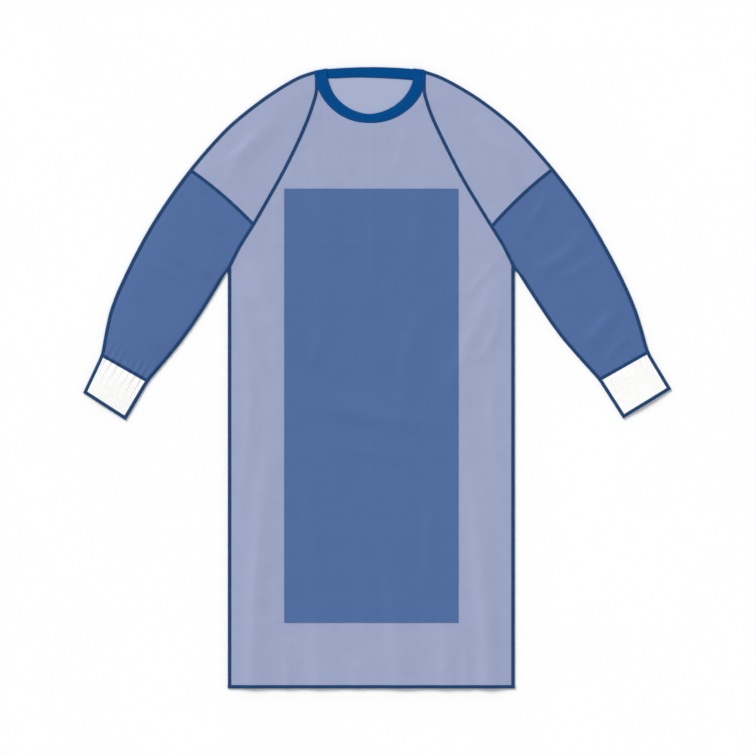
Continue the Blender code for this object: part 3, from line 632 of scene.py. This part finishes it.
KNIT_LEAN = 1.3  # how steeply the stitches' arms climb
FUZZ_SCALE, KNIT_WEAR_SCALE = 2600.0, 120.0


def knit(name, colour, wale, course, painted_shade_and_wear, depth):
    """Knit cloth: columns of V-shaped stitches that run along the piece, with painted shade that darkens the
    grooves between the stitches and lightens their crests.
    """
    shader = Shader(name, 0.85, 0.05, 0.0)
    across, along = shader.along()
    column = shader.math("FRACT", shader.math("DIVIDE", across, wale))
    lean = shader.math("ABSOLUTE", shader.math("SUBTRACT", column, 0.5))
    loops = shader.waves(shader.plus(shader.math("DIVIDE", along, course), shader.times(lean, KNIT_LEAN)))
    yarn = shader.times(loops, shader.ranged(lean, 0.32, 0.5, 1.0, 0.0))
    fuzz = shader.noise(shader.place(), FUZZ_SCALE, 3.0, 0.7)
    relief = shader.plus(yarn, shader.times(fuzz, 0.35))
    worn = shader.noise(shader.place(), KNIT_WEAR_SCALE, 3.0)
    # painted shade: the dull colour sits in the grooves between stitches and the pale one on their crests;
    # the worn colour is random darker wear
    dull, pale, worn_colour = (shade(colour, 1.0 + part * painted_shade_and_wear) for part in (-1.0, 1.0, -0.6))
    tint = shader.mixed(shader.ranged(yarn, 0.0, 0.9), dull, pale)
    tint = shader.mixed(shader.ranged(worn, 0.35, 0.7, 0.0, 0.35), tint, worn_colour)
    return shader.finish(tint, shader.bump(relief, depth, 0.7))


TWILL_LENGTH, TWILL_WIDTH, WARP_PITCH = 0.0008, 0.0011, 0.00045  # metres
TWILL_DEPTH = 0.00012
TAPE_WEAR_SCALE = 45.0


def woven_tape(name, colour):
    """Twill tape: fine slanting ribs, with painted shade that darkens the valleys between them and lightens
    their crests.
    """
    shader = Shader(name, 0.7, 0.15, 0.03)
    across, along = shader.along()
    climb = shader.math("DIVIDE", along, TWILL_LENGTH)
    twill = shader.waves(shader.plus(climb, shader.math("DIVIDE", across, TWILL_WIDTH)))
    warp = shader.math("SINE", shader.times(across, TURN / WARP_PITCH))
    relief = shader.plus(twill, shader.times(warp, 0.25))
    worn = shader.noise(shader.place(), TAPE_WEAR_SCALE, 4.0, 0.6)
    # painted shade: darker in the twill's valleys and paler on its ribs
    tint = shader.mixed(twill, shade(colour, 0.8), shade(colour, 1.18))
    tint = shader.mixed(shader.ranged(worn, 0.45, 0.75, 0.0, 0.4), tint, shade(colour, 1.5))
    return shader.finish(tint, shader.bump(relief, TWILL_DEPTH, 0.6))


def thread(name, colour):
    """Twisted sewing thread, with painted shade along the grooves of its twist."""
    shader = Shader(name, 0.5, 0.3, 0.2)
    place = shader.add("Mapping", {"Vector": shader.place(), "Rotation": (0.0, 0.0, 0.6)}).outputs[0]
    twist = shader.add("TexWave", {"Vector": place, "Scale": 900.0, "Distortion": 1.5}).outputs[1]
    # painted shade: darker in the twist's grooves and paler on its strands
    tint = shader.mixed(twist, shade(colour, 0.75), shade(colour, 1.25))
    return shader.finish(tint, shader.bump(twist, 0.0001, 0.5))


def plain_floor():
    shader = Shader("pale_floor", 0.9, 0.1, 0.0)
    place = shader.place()
    grain = shader.noise(place, 3.0, 4.0)
    tint = shader.mixed(grain, (0.965, 0.965, 0.965, 1.0), (0.98, 0.98, 0.98, 1.0))
    return shader.finish(tint, shader.bump(shader.noise(place, 400.0), 0.0001, 0.1))


# ---- meshes

def placed(name, data):
    """A new object in the scene."""
    thing = bpy.data.objects.new(name, data)
    bpy.context.scene.collection.objects.link(thing)
    return thing


def new_piece(name, points, faces, finish, corner_uv=None, sharp=50.0):
    """A smooth mesh object from points in millimetres. The UV of the faces' corners is in metres."""
    mesh = bpy.data.meshes.new(name)
    mesh.from_pydata((points * MM).tolist(), [], faces)
    if corner_uv is not None:
        layer = mesh.uv_layers.new(name="cloth")
        layer.uv.foreach_set("vector", corner_uv.astype(np.float32).ravel())
    mesh.materials.append(finish)
    mesh.update()
    mesh.shade_smooth()
    mesh.set_sharp_from_angle(angle=math.radians(sharp))
    return placed(name, mesh)


def cells(grid):
    """The four corners of each cell of a grid, in order round it."""
    return np.stack((grid[:-1, :-1], grid[1:, :-1], grid[1:, 1:], grid[:-1, 1:]), axis=2)


def around(rows, columns):
    """Numbers of a grid's outer points, in order round it."""
    at = np.arange(rows * columns).reshape(rows, columns)
    return np.concatenate((at[0, :-1], at[:-1, -1], at[-1, :0:-1], at[:0:-1, 0]))


def shell(name, top, thickness, finish, under=None):
    """A thin closed wall under a grid of points, which looks up where the grid's rows run down the page.

    Where a second finish is given, the wall has it underneath.
    """
    rows, columns = top.shape[:2]
    count = rows * columns
    above = cells(np.arange(count).reshape(rows, columns)).reshape(-1, 4)
    faces = np.concatenate((above, above[:, ::-1] + count)).tolist()
    rim = around(rows, columns)
    for here, there in zip(rim, np.roll(rim, -1)):
        faces.append((int(here), int(there), int(there + count), int(here + count)))
    bottom = top - (0.0, 0.0, thickness)
    across = norm(np.diff(top, axis=1, prepend=top[:, :1]), axis=2).cumsum(axis=1)
    along = norm(np.diff(top, axis=0, prepend=top[:1]), axis=2).cumsum(axis=0)
    uv = np.stack((across, along), axis=-1).reshape(-1, 2) * MM
    points = np.concatenate((top.reshape(-1, 3), bottom.reshape(-1, 3)))
    piece = new_piece(name, points, faces, finish, np.concatenate((uv, uv))[np.ravel(faces)])
    if under:
        piece.data.materials.append(under)
        for face in piece.data.polygons[len(above):2 * len(above)]:
            face.material_index = 1
    return piece


def ribbon(name, sections, finish):
    """A closed strip through rings of points, one ring after the other."""
    rows, columns = sections.shape[:2]
    closed = np.concatenate((sections, sections[:, :1]), axis=1)
    at = np.arange(rows * columns).reshape(rows, columns)
    at = np.concatenate((at, at[:, :1]), axis=1)
    faces = cells(at).reshape(-1, 4).tolist() + [at[0, :-1].tolist(), at[-1, -2::-1].tolist()]
    around_it = norm(np.diff(closed, axis=1, prepend=closed[:, :1]), axis=2).cumsum(axis=1)
    along_it = norm(np.diff(closed, axis=0, prepend=closed[:1]), axis=2).mean(axis=1).cumsum()
    uv = np.stack((around_it, np.broadcast_to(along_it[:, None], around_it.shape)), axis=-1) * MM
    corner_uv = np.concatenate((cells(uv).reshape(-1, 2), uv[0, :-1], uv[-1, -2::-1]))
    piece = new_piece(name, sections.reshape(-1, 3), faces, finish, corner_uv)
    face_outwards(piece.data)
    return piece


def face_outwards(mesh):
    """Turns every face over where the solid's volume comes out negative."""
    mesh.calc_loop_triangles()
    corners = np.array([vertex.co for vertex in mesh.vertices])
    triangles = np.array([triangle.vertices for triangle in mesh.loop_triangles])
    a, b, c = (corners[triangles[:, index]] for index in range(3))
    if np.einsum("ij,ij->i", a, np.cross(b, c)).sum() < 0:
        mesh.flip_normals()


def lapped(outer, inner):
    """The inner edge of a binding, moved on over the cloth that it binds."""
    return inner + BINDING_LAP * (inner - outer) / BINDING_WIDTH


def tucked_in(grid, under_band=0.0):
    """A panel's plan whose sides run on under their bindings, and its start under the neck band."""
    grid = grid.copy()
    for edge, inner in ((grid[:, 0], grid[:, 1].copy()), (grid[:, -1], grid[:, -2].copy())):
        gap = to_bound_edge(edge)
        reach = np.where(gap < BOUND_REACH, np.maximum(gap - CUT_INSET, 0.0), 0.0)
        edge += units(edge - inner) * reach[:, None]
    grid[0] += units(grid[0] - grid[1]) * under_band
    return grid


def led_from(place, line, step):
    """A line that comes straight down the page from a place, and curves into the line's own direction."""
    way = line[0] - line[1]
    bend = line[0] + way * (place[0] - line[0, 0]) / way[0]
    turn = bend + (0.0, norm(bend - line[0]))
    share = np.linspace(0.0, 1.0, max(2, round((place[1] - turn[1]) / step)), endpoint=False)[:, None]
    straight = place + share * (turn - place)
    share = np.linspace(0.0, 1.0, max(3, round(2.0 * (turn[1] - bend[1]) / step)), endpoint=False)[:, None]
    curve = (1 - share) ** 2 * turn + 2 * share * (1 - share) * bend + share ** 2 * line[0]
    return np.concatenate((straight, curve, line))


def beside(line, half):
    """The two sides of a strip, each half a width off its middle line."""
    way = np.gradient(line, axis=0)
    aside = units(np.column_stack((-way[:, 1], way[:, 0]))) * half[:, None]
    return line - aside, line + aside


def swept(first, second, ring, base, height, inner_height=None):
    """Sections between two matching plan lines: a ring of shares across and of the height, over a base.

    Where a second height is given, a section turns to it on its inner side.
    """
    if inner_height is None:
        inner_height = height
    base, height, inner_height = (np.broadcast_to(value, len(first))[:, None]
                                  for value in (base, height, inner_height))
    height = height + (inner_height - height) * smooth_step((ring[None, :, 0] - LIP_FROM) / LIP_REACH)
    plan = first[:, None, :2] + (second - first)[:, None, :2] * ring[None, :, :1]
    return laid(plan, base + height * ring[None, :, 1])


def seam_row(outer, inner, share, level):
    """A row for stitches between two edges, just over a level."""
    return np.column_stack(((outer + share * (inner - outer))[:, :2], level + STITCH_RISE))


def sew(name, line):
    """A row of stitches along a line of points, each a short thread half sunk in the cloth."""
    length = travelled(line)[-1]
    count = max(1, int(length / STITCH_PITCH))
    middles = (np.arange(count) + 0.5) * length / count
    centre, ahead, behind = (place_on(line, middles + step) for step in (0.0, 0.5, -0.5))
    way = units(ahead - behind)
    side = units(np.cross(way, (0.0, 0.0, 1.0)))
    up = np.cross(side, way)
    turn = TURN * np.arange(STITCH_SIDES) / STITCH_SIDES
    ring = (side[:, None] * np.cos(turn)[:, None] + up[:, None] * np.sin(turn)[:, None]) * STITCH_RADIUS
    rings = [(centre + way * place * STITCH_LENGTH)[:, None] + ring * size for place, size in STITCH_SECTIONS]
    one = np.arange(len(rings) * STITCH_SIDES).reshape(len(rings), STITCH_SIDES)
    near, far = one[:-1], one[1:]
    walls = np.stack((near, np.roll(near, -1, axis=1), np.roll(far, -1, axis=1), far), axis=-1).reshape(-1, 4)
    each = walls.tolist() + [one[0, ::-1].tolist(), one[-1].tolist()]
    faces = [[index + number * one.size for index in face] for number in range(count) for face in each]
    piece = new_piece(name, np.stack(rings, axis=1).reshape(-1, 3), faces, THREAD, sharp=80.0)
    face_outwards(piece.data)
    wear(piece, "dark_tape")


# ---- putting pieces in place of the frame's solids

def wear(piece, slot, *nodes):
    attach(piece, "root")
    if nodes:
        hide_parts(*nodes)
    return piece


def clothed(node, top, finish, slot, ending="cloth", thickness=CLOTH, under=None):
    """A wall of cloth in place of its solid."""
    return wear(shell(f"{node}_{ending}", top, thickness, finish, under), slot, node)


def taped(node, rings, ending="tape"):
    """A strip of tape in place of its solid."""
    return wear(ribbon(f"{node}_{ending}", rings, TAPE), "dark_tape", node)


def edge_binding(node, low, high, base, height):
    """A binding round the edge of one layer."""
    return taped(node, swept(low, lapped(low, high), BINDING_RING, base, height))


def declare(grid):
    """Measures the width and length of a piece's plan; nothing is done with them."""
    plan = grid[..., :2]
    width = norm(np.diff(plan, axis=1), axis=2).sum(axis=1).max()
    length = norm(np.diff(plan, axis=0), axis=2).sum(axis=0).max()


# ---- the gown's seams, read from the frame

def middle_line(node, step=STRIP_STEP):
    left, right = strip_sides(node, step)
    return 0.5 * (left + right)[:, :2]


BOUND_NAMES = [f"{name}_binding_{side}" for side in SIDES for name in ("overarm", "underarm", "side")]
TAPE_NAMES = [f"{name}_tape_{side}" for side in SIDES for name in ("raglan", "sleeve_joint", "cuff_joint")]
BOUND_LINES = [strip_sides(node)[0][:, :2] for node in BOUND_NAMES]
CUFF_LINES = [middle_line(f"cuff_joint_tape_{side}") for side in SIDES]
SEAM_LINES = [middle_line(node) for node in TAPE_NAMES] + BOUND_LINES
NECK_LINE = strip_sides("neckband_front", near=RIGHT_HAND)[0][:, :2]
NECK_LINE = NECK_LINE[NECK_LINE[:, 1] < NECK_LINE_TOP]


# ---- pieces

def make_body():
    """Front panel, reinforcement and the two back flaps."""
    panel = raised(tucked_in(patch("front_panel", CLOTH_STEP), UNDER_BAND))
    front = clothed("front_panel", panel, LIGHT, "light_cloth")
    grid = patch("front_reinforcement", CLOTH_STEP)
    top = raised(grid) + (0.0, 0.0, SEAM_GAP + REINFORCEMENT_CLOTH)
    film = clothed("front_reinforcement", top, LAMINATE, "dark_laminate", thickness=REINFORCEMENT_CLOTH)
    declare(grid)
    inner_grid = tucked_in(patch("back_panel_inner", BACK_STEP), UNDER_BAND)
    lift = on_outer_flap(inner_grid[..., 0], CLOTH)
    top = laid(inner_grid, CLOTH + lift)
    top[0, :, 2] -= FLAP_SINK * lift[0] / lift.max()
    inner = clothed("back_panel_inner", top, INSIDE, "light_cloth", under=LIGHT)
    outer_grid = tucked_in(patch("back_panel_outer", BACK_STEP), UNDER_BAND)
    outer = clothed("back_panel_outer", laid(outer_grid, CLOTH), INSIDE, "light_cloth", under=LIGHT)
    hem = make_hems()
    declare(panel)
    declare(inner_grid)
    declare(outer_grid)


def make_hems():
    """Bindings along the bottom of the front panel and of each back flap."""
    low, high = strip_sides("hem_binding_front", near=RIGHT_HAND)
    base = front_line(high)[:, 2] - CLOTH - HEM_DIP
    height = HEM_FRONT_HEIGHT + HEM_DIP
    made = {"front": edge_binding("hem_binding_front", low, high, base, height)}
    sew("hem_stitches", seam_row(low, lapped(low, high), BINDING_STITCHES, base + height))
    for name in ("outer", "inner"):
        node = f"hem_binding_back_{name}"
        low, high = strip_sides(node, near=RIGHT_HAND)
        base = on_outer_flap(low[:, 0], BINDING_BACK_HEIGHT) if name == "inner" else 0.0
        made[name] = edge_binding(node, low, high, base, BINDING_BACK_HEIGHT)
    return made


def make_sleeve(side):
    """The four cloth pieces of a sleeve."""
    for part, finish, slot, under_band in (("upper", LIGHT, "light_cloth", UNDER_BAND),
                                           ("lower", LAMINATE, "dark_laminate", 0.0)):
        node = f"sleeve_{side}_{part}"
        grid = patch(f"{node}_back", BACK_STEP)
        back = clothed(f"{node}_back", laid(grid, CLOTH), finish, slot)
        declare(grid)
        grid = tucked_in(patch(f"{node}_front", CLOTH_STEP), under_band)
        front = clothed(f"{node}_front", raised(grid), finish, slot)
        declare(grid)


def make_cuff(side):
    """The two halves of a cuff, the front one ribbed, and the bindings at its end."""
    node = f"cuff_{side}"
    grid = patch(f"{node}_back", STRIP_STEP)
    back = clothed(f"{node}_back", laid(grid, CLOTH), WHITE_KNIT, "white_knit", "knit")
    declare(grid)
    width = norm(grid[0, -1] - grid[0, 0])
    grid = tucked_in(patch(f"{node}_front", STRIP_STEP, width / (CUFF_RIBS * POINTS_A_RIB)))
    top = raised(grid)
    share = np.linspace(0.0, 1.0, grid.shape[1])
    ribs = (0.5 - 0.5 * np.cos(TURN * CUFF_RIBS * share)) ** CUFF_RIB_ROUNDNESS
    ribs *= smooth_step(np.minimum(share, 1.0 - share) * width / CUFF_RIB_START)
    down = norm(grid - grid[:1], axis=2)
    start = smooth_step((down - CUFF_RIB_START) / (CUFF_RIB_FULL - CUFF_RIB_START))
    top[..., 2] += ribs * start * CUFF_RIB_HEIGHT
    front = clothed(f"{node}_front", top, WHITE_KNIT, "white_knit", "knit")
    end = f"cuff_end_binding_{side}"
    low, high = strip_sides(f"{end}_front")
    base = front_line(high)[:, 2] - CLOTH
    row = seam_row(low, lapped(low, high), BINDING_STITCHES, base + CUFF_END_HEIGHT)
    sew(f"cuff_end_stitches_{side}", row)
    ends = [edge_binding(f"{end}_front", low, high, base, CUFF_END_HEIGHT),
            edge_binding(f"{end}_back", *strip_sides(f"{end}_back"), 0.0, BINDING_BACK_HEIGHT)]
    declare(grid)


def make_bindings(side):
    """The bound overarm, underarm and side seams, each with its row of stitches."""
    for name, start in BINDING_STARTS.items():
        node = f"{name}_binding_{side}"
        outer, inner = strip_sides(node)
        inner = lapped(outer, inner)
        width = start.width + (1.0 - start.width) * smooth_step(travelled(outer) / NARROW_REACH)
        inner = outer + (inner - outer) * width[:, None]
        outer, inner = lengthened(outer, start.outer), lengthened(inner, start.inner)
        place = travelled(outer)
        ripple = sum(height * np.sin(TURN * place / length + phase) for height, length, phase in RIPPLES)
        lip = front_height(inner[:, :2]) + BINDING_LIP
        taped(node, swept(outer, inner, BINDING_RING, 0.0, BINDING_HEIGHT + ripple, lip))
        sew(f"{name}_stitches_{side}", seam_row(outer, inner, BINDING_STITCHES, lip)[1:])


def to_shoulder(line, side):
    """The raglan tape's middle line, led on beside the neck band to the shoulder."""
    shoulder = BOUND_LINES[BOUND_NAMES.index(f"overarm_binding_{side}")][0]
    outwards = math.copysign(1.0, shoulder[0])
    drawn = RAGLAN_OUT * smooth_step(1.0 - travelled(line) / RAGLAN_OUT_REACH)
    line = line + outwards * np.column_stack((drawn, 0.0 * drawn))
    inwards, up = TO_SHOULDER
    return led_from(shoulder + (-outwards * inwards, up), line[RAGLAN_CUT:], TAPE_STEP)


def make_tapes(side):
    """The tapes over the raglan, sleeve joint and cuff joint seams, with two rows of stitches on each."""
    for run in TAPE_RUNS:
        node = f"{run.name}_tape_{side}"
        line = middle_line(node, TAPE_STEP)
        if run.name == "raglan":
            line = to_shoulder(line, side)
        line = lengthened(line, run.before, run.after)
        place = travelled(line)
        width = run.end + (1.0 - run.end) * smooth_step((place[-1] - place) / TAPE_END_REACH)
        left, right = beside(line, TAPE_HALF_WIDTH * width)
        to_end = np.minimum(place, place[-1] - place)
        sunk = run.sunk + TAPE_TUCK_SINK * (1.0 - smooth_step(to_end / TAPE_TUCK))
        rings = swept(left, right, TAPE_RING, 0.0, TAPE_THICKNESS + TAPE_SINK)
        levels = front_height(rings[..., :2].reshape(-1, 2)).reshape(rings.shape[:2])
        rings[..., 2] += levels - TAPE_SINK - sunk[:, None]
        taped(node, rings, "cloth")
        for row, share in TAPE_STITCHES:
            line = front_line(left + share * (right - left), TAPE_THICKNESS + STITCH_RISE - run.sunk)
            sew(f"{run.name}_stitches_{side}_{row}", line[to_end > TAPE_TUCK])


def band_ribs(place):
    """Heights of the neck band's fine ribs, along its length."""
    return -0.5 * BAND_RIB_HEIGHT * np.cos(TURN * place / BAND_RIB_PITCH)


def make_band(node, outer, inner, rings):
    piece = wear(ribbon(f"{node}_knit", rings, DARK_KNIT), "dark_knit", node)
    declare(np.stack((outer[:, :2], inner[:, :2]), axis=1))


def make_front_band():
    """The neck band's front run, whose ends lie on the back run."""
    node = "neckband_front"
    outer, inner = strip_sides(node, RIB_STEP, near=RIGHT_HAND)
    outer = lengthened(outer, BAND_OUTER_END, BAND_OUTER_END)
    inner = lengthened(inner, BAND_INNER_END, BAND_INNER_END)
    place = travelled(0.5 * (outer + inner))
    shares, outwards, inwards = np.array(BAND_GROWTH).T
    way = units((inner - outer)[:, :2])
    outer[:, :2] -= way * np.interp(place / place[-1], shares, outwards)[:, None]
    inner[:, :2] += way * np.interp(place / place[-1], shares, inwards)[:, None]
    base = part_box(node)[0].z / MM + band_rise(outer[:, 1])
    thinned = BAND_THINNING * smooth_step((outer[:, 1] - BAND_THIN_FROM) / BAND_THIN_REACH)
    thickness = BAND_THICKNESS * (1.0 - thinned)
    rings = swept(outer, inner, BAND_RING, base, thickness + band_ribs(place))
    under = on_outer_flap(rings[..., 0], BAND_BACK_THICKNESS) + BAND_BACK_THICKNESS + SEAM_GAP
    dropped = smooth_step((outer[:, 1] - BAND_DROP_FROM) / BAND_DROP_REACH)[:, None]
    rings[..., 2] -= (base[:, None] - under) * dropped * smooth_step(BAND_RING[None, :, 0] / BAND_DROP_SHARE)
    to_end = np.minimum(place, place[-1] - place)
    turned = (1.0 - smooth_step(to_end / BAND_TURN))[:, None]
    rings[..., 2] -= turned * (BAND_TURN_SINK + (1.0 - BAND_RING[None, :, 1]).clip(0.0) * rings[..., 2])
    rings[..., 2] = rings[..., 2].clip(LOWEST_KNIT)
    make_band(node, outer, inner, rings)
    sew("neckband_stitches", seam_row(outer, inner, BAND_SEAM, base + thickness)[to_end > BAND_TURN])


def make_back_band(name):
    """One of the neck band's two back runs. The inner one rises over the outer one."""
    node = f"neckband_back_{name}"
    outer, inner = strip_sides(node, RIB_STEP, near=RIGHT_HAND)
    place = travelled(0.5 * (outer + inner))
    lower = inner if name == "inner" else outer
    lower[:, 1] -= np.interp(lower[:, 0], *np.array(BACK_BAND_GROWTH).T)
    base = on_outer_flap(outer[:, 0], BAND_BACK_THICKNESS) if name == "inner" else 0.0
    rings = swept(outer, inner, BAND_RING, base, BAND_BACK_THICKNESS + band_ribs(place))
    make_band(node, outer, inner, rings)


# ---- floor, light and camera

def make_floor():
    mesh = bpy.data.meshes.new("floor")
    reach, level = 60.0, -0.0003
    corners = [(x * reach, y * reach, level) for x, y in ((-1, -1), (1, -1), (1, 1), (-1, 1))]
    mesh.from_pydata(corners, [], [(0, 1, 2, 3)])
    mesh.materials.append(plain_floor())
    floor = placed("floor", mesh)


def add_sun(name, strength, azimuth, elevation, softness, colour):
    """A sun that shines from an azimuth, counted from +X towards +Y, and an elevation."""
    light = bpy.data.lights.new(name, "SUN")
    light.energy = strength
    light.angle = math.radians(softness)
    light.color = colour
    sun = placed(name, light)
    across, up = math.radians(azimuth), math.radians(elevation)
    source = Vector((math.cos(across) * math.cos(up), math.sin(across) * math.cos(up), math.sin(up)))
    sun.rotation_euler = source.to_track_quat("Z", "Y").to_euler()


def light_scene():
    """A soft sun from the upper left, a weak one opposite, and a sky that is paler low down."""
    world = bpy.data.worlds.new("studio")
    world.use_nodes = True
    nodes, links = world.node_tree.nodes, world.node_tree.links
    sky = nodes["Background"]
    sky.inputs["Color"].default_value = (0.97, 0.98, 1.0, 1.0)
    split = nodes.new("ShaderNodeSeparateXYZ")
    dimmer = nodes.new("ShaderNodeMapRange")
    heights, strengths = (0.0, 0.5), (1.0, 0.42)
    for number, value in enumerate(heights + strengths, 1):
        dimmer.inputs[number].default_value = value
    links.new(nodes.new("ShaderNodeTexCoord").outputs["Generated"], split.inputs[0])
    links.new(split.outputs[2], dimmer.inputs[0])
    links.new(dimmer.outputs[0], sky.inputs["Strength"])
    bpy.context.scene.world = world
    add_sun("key", 2.52, 128.0, 38.0, 28.0, (1.0, 0.99, 0.97))
    add_sun("fill", 0.3, -40.0, 55.0, 25.0, (0.96, 0.98, 1.0))
    bpy.context.scene.view_settings.view_transform = "Standard"


def add_camera():
    """Straight above the gown, from far away, with the picture's frame."""
    frame_width, frame_middle, gown_level = 1.512, 0.0135, 0.005
    lens, sensor = 200.0, 36.0
    data = bpy.data.cameras.new("camera")
    data.lens = lens
    data.sensor_width = sensor
    data.clip_end = 100.0
    camera = placed("camera", data)
    camera.location = (frame_middle, 0.0, frame_width * lens / sensor + gown_level)
    bpy.context.scene.camera = camera


LIGHT = bonded_cloth("light_nonwoven", (0.325, 0.368, 0.545), roughness=0.8, gloss=0.25,
                     bond_pitch=0.0016, bond_depth=0.8, clouding=0.04)
INSIDE = bonded_cloth("light_nonwoven_inside", (0.38, 0.43, 0.6), roughness=0.85, gloss=0.2,
                      bond_pitch=0.0016, bond_depth=0.5, clouding=0.04)
LAMINATE = bonded_cloth("film_laminate", (0.068, 0.1375, 0.333), roughness=0.62, gloss=0.25,
                        bond_pitch=0.0013, bond_depth=0.4, clouding=0.035, waviness=0.1)
WHITE_KNIT = knit("white_rib_knit", (0.99, 0.99, 0.975), wale=0.0015, course=0.0011,
                  painted_shade_and_wear=0.01, depth=0.0002)
DARK_KNIT = knit("dark_blue_knit", (0.0003, 0.077, 0.287), wale=0.0013, course=0.001,
                 painted_shade_and_wear=0.25, depth=0.0003)
TAPE = woven_tape("dark_blue_tape", (0.0065, 0.05, 0.158))
THREAD = thread("blue_thread", (0.02, 0.1, 0.28))

make_floor()
make_body()
for gown_side in SIDES:
    make_sleeve(gown_side)
    make_cuff(gown_side)
    make_bindings(gown_side)
    make_tapes(gown_side)
make_front_band()
make_back_band("outer")
make_back_band("inner")
light_scene()
add_camera()
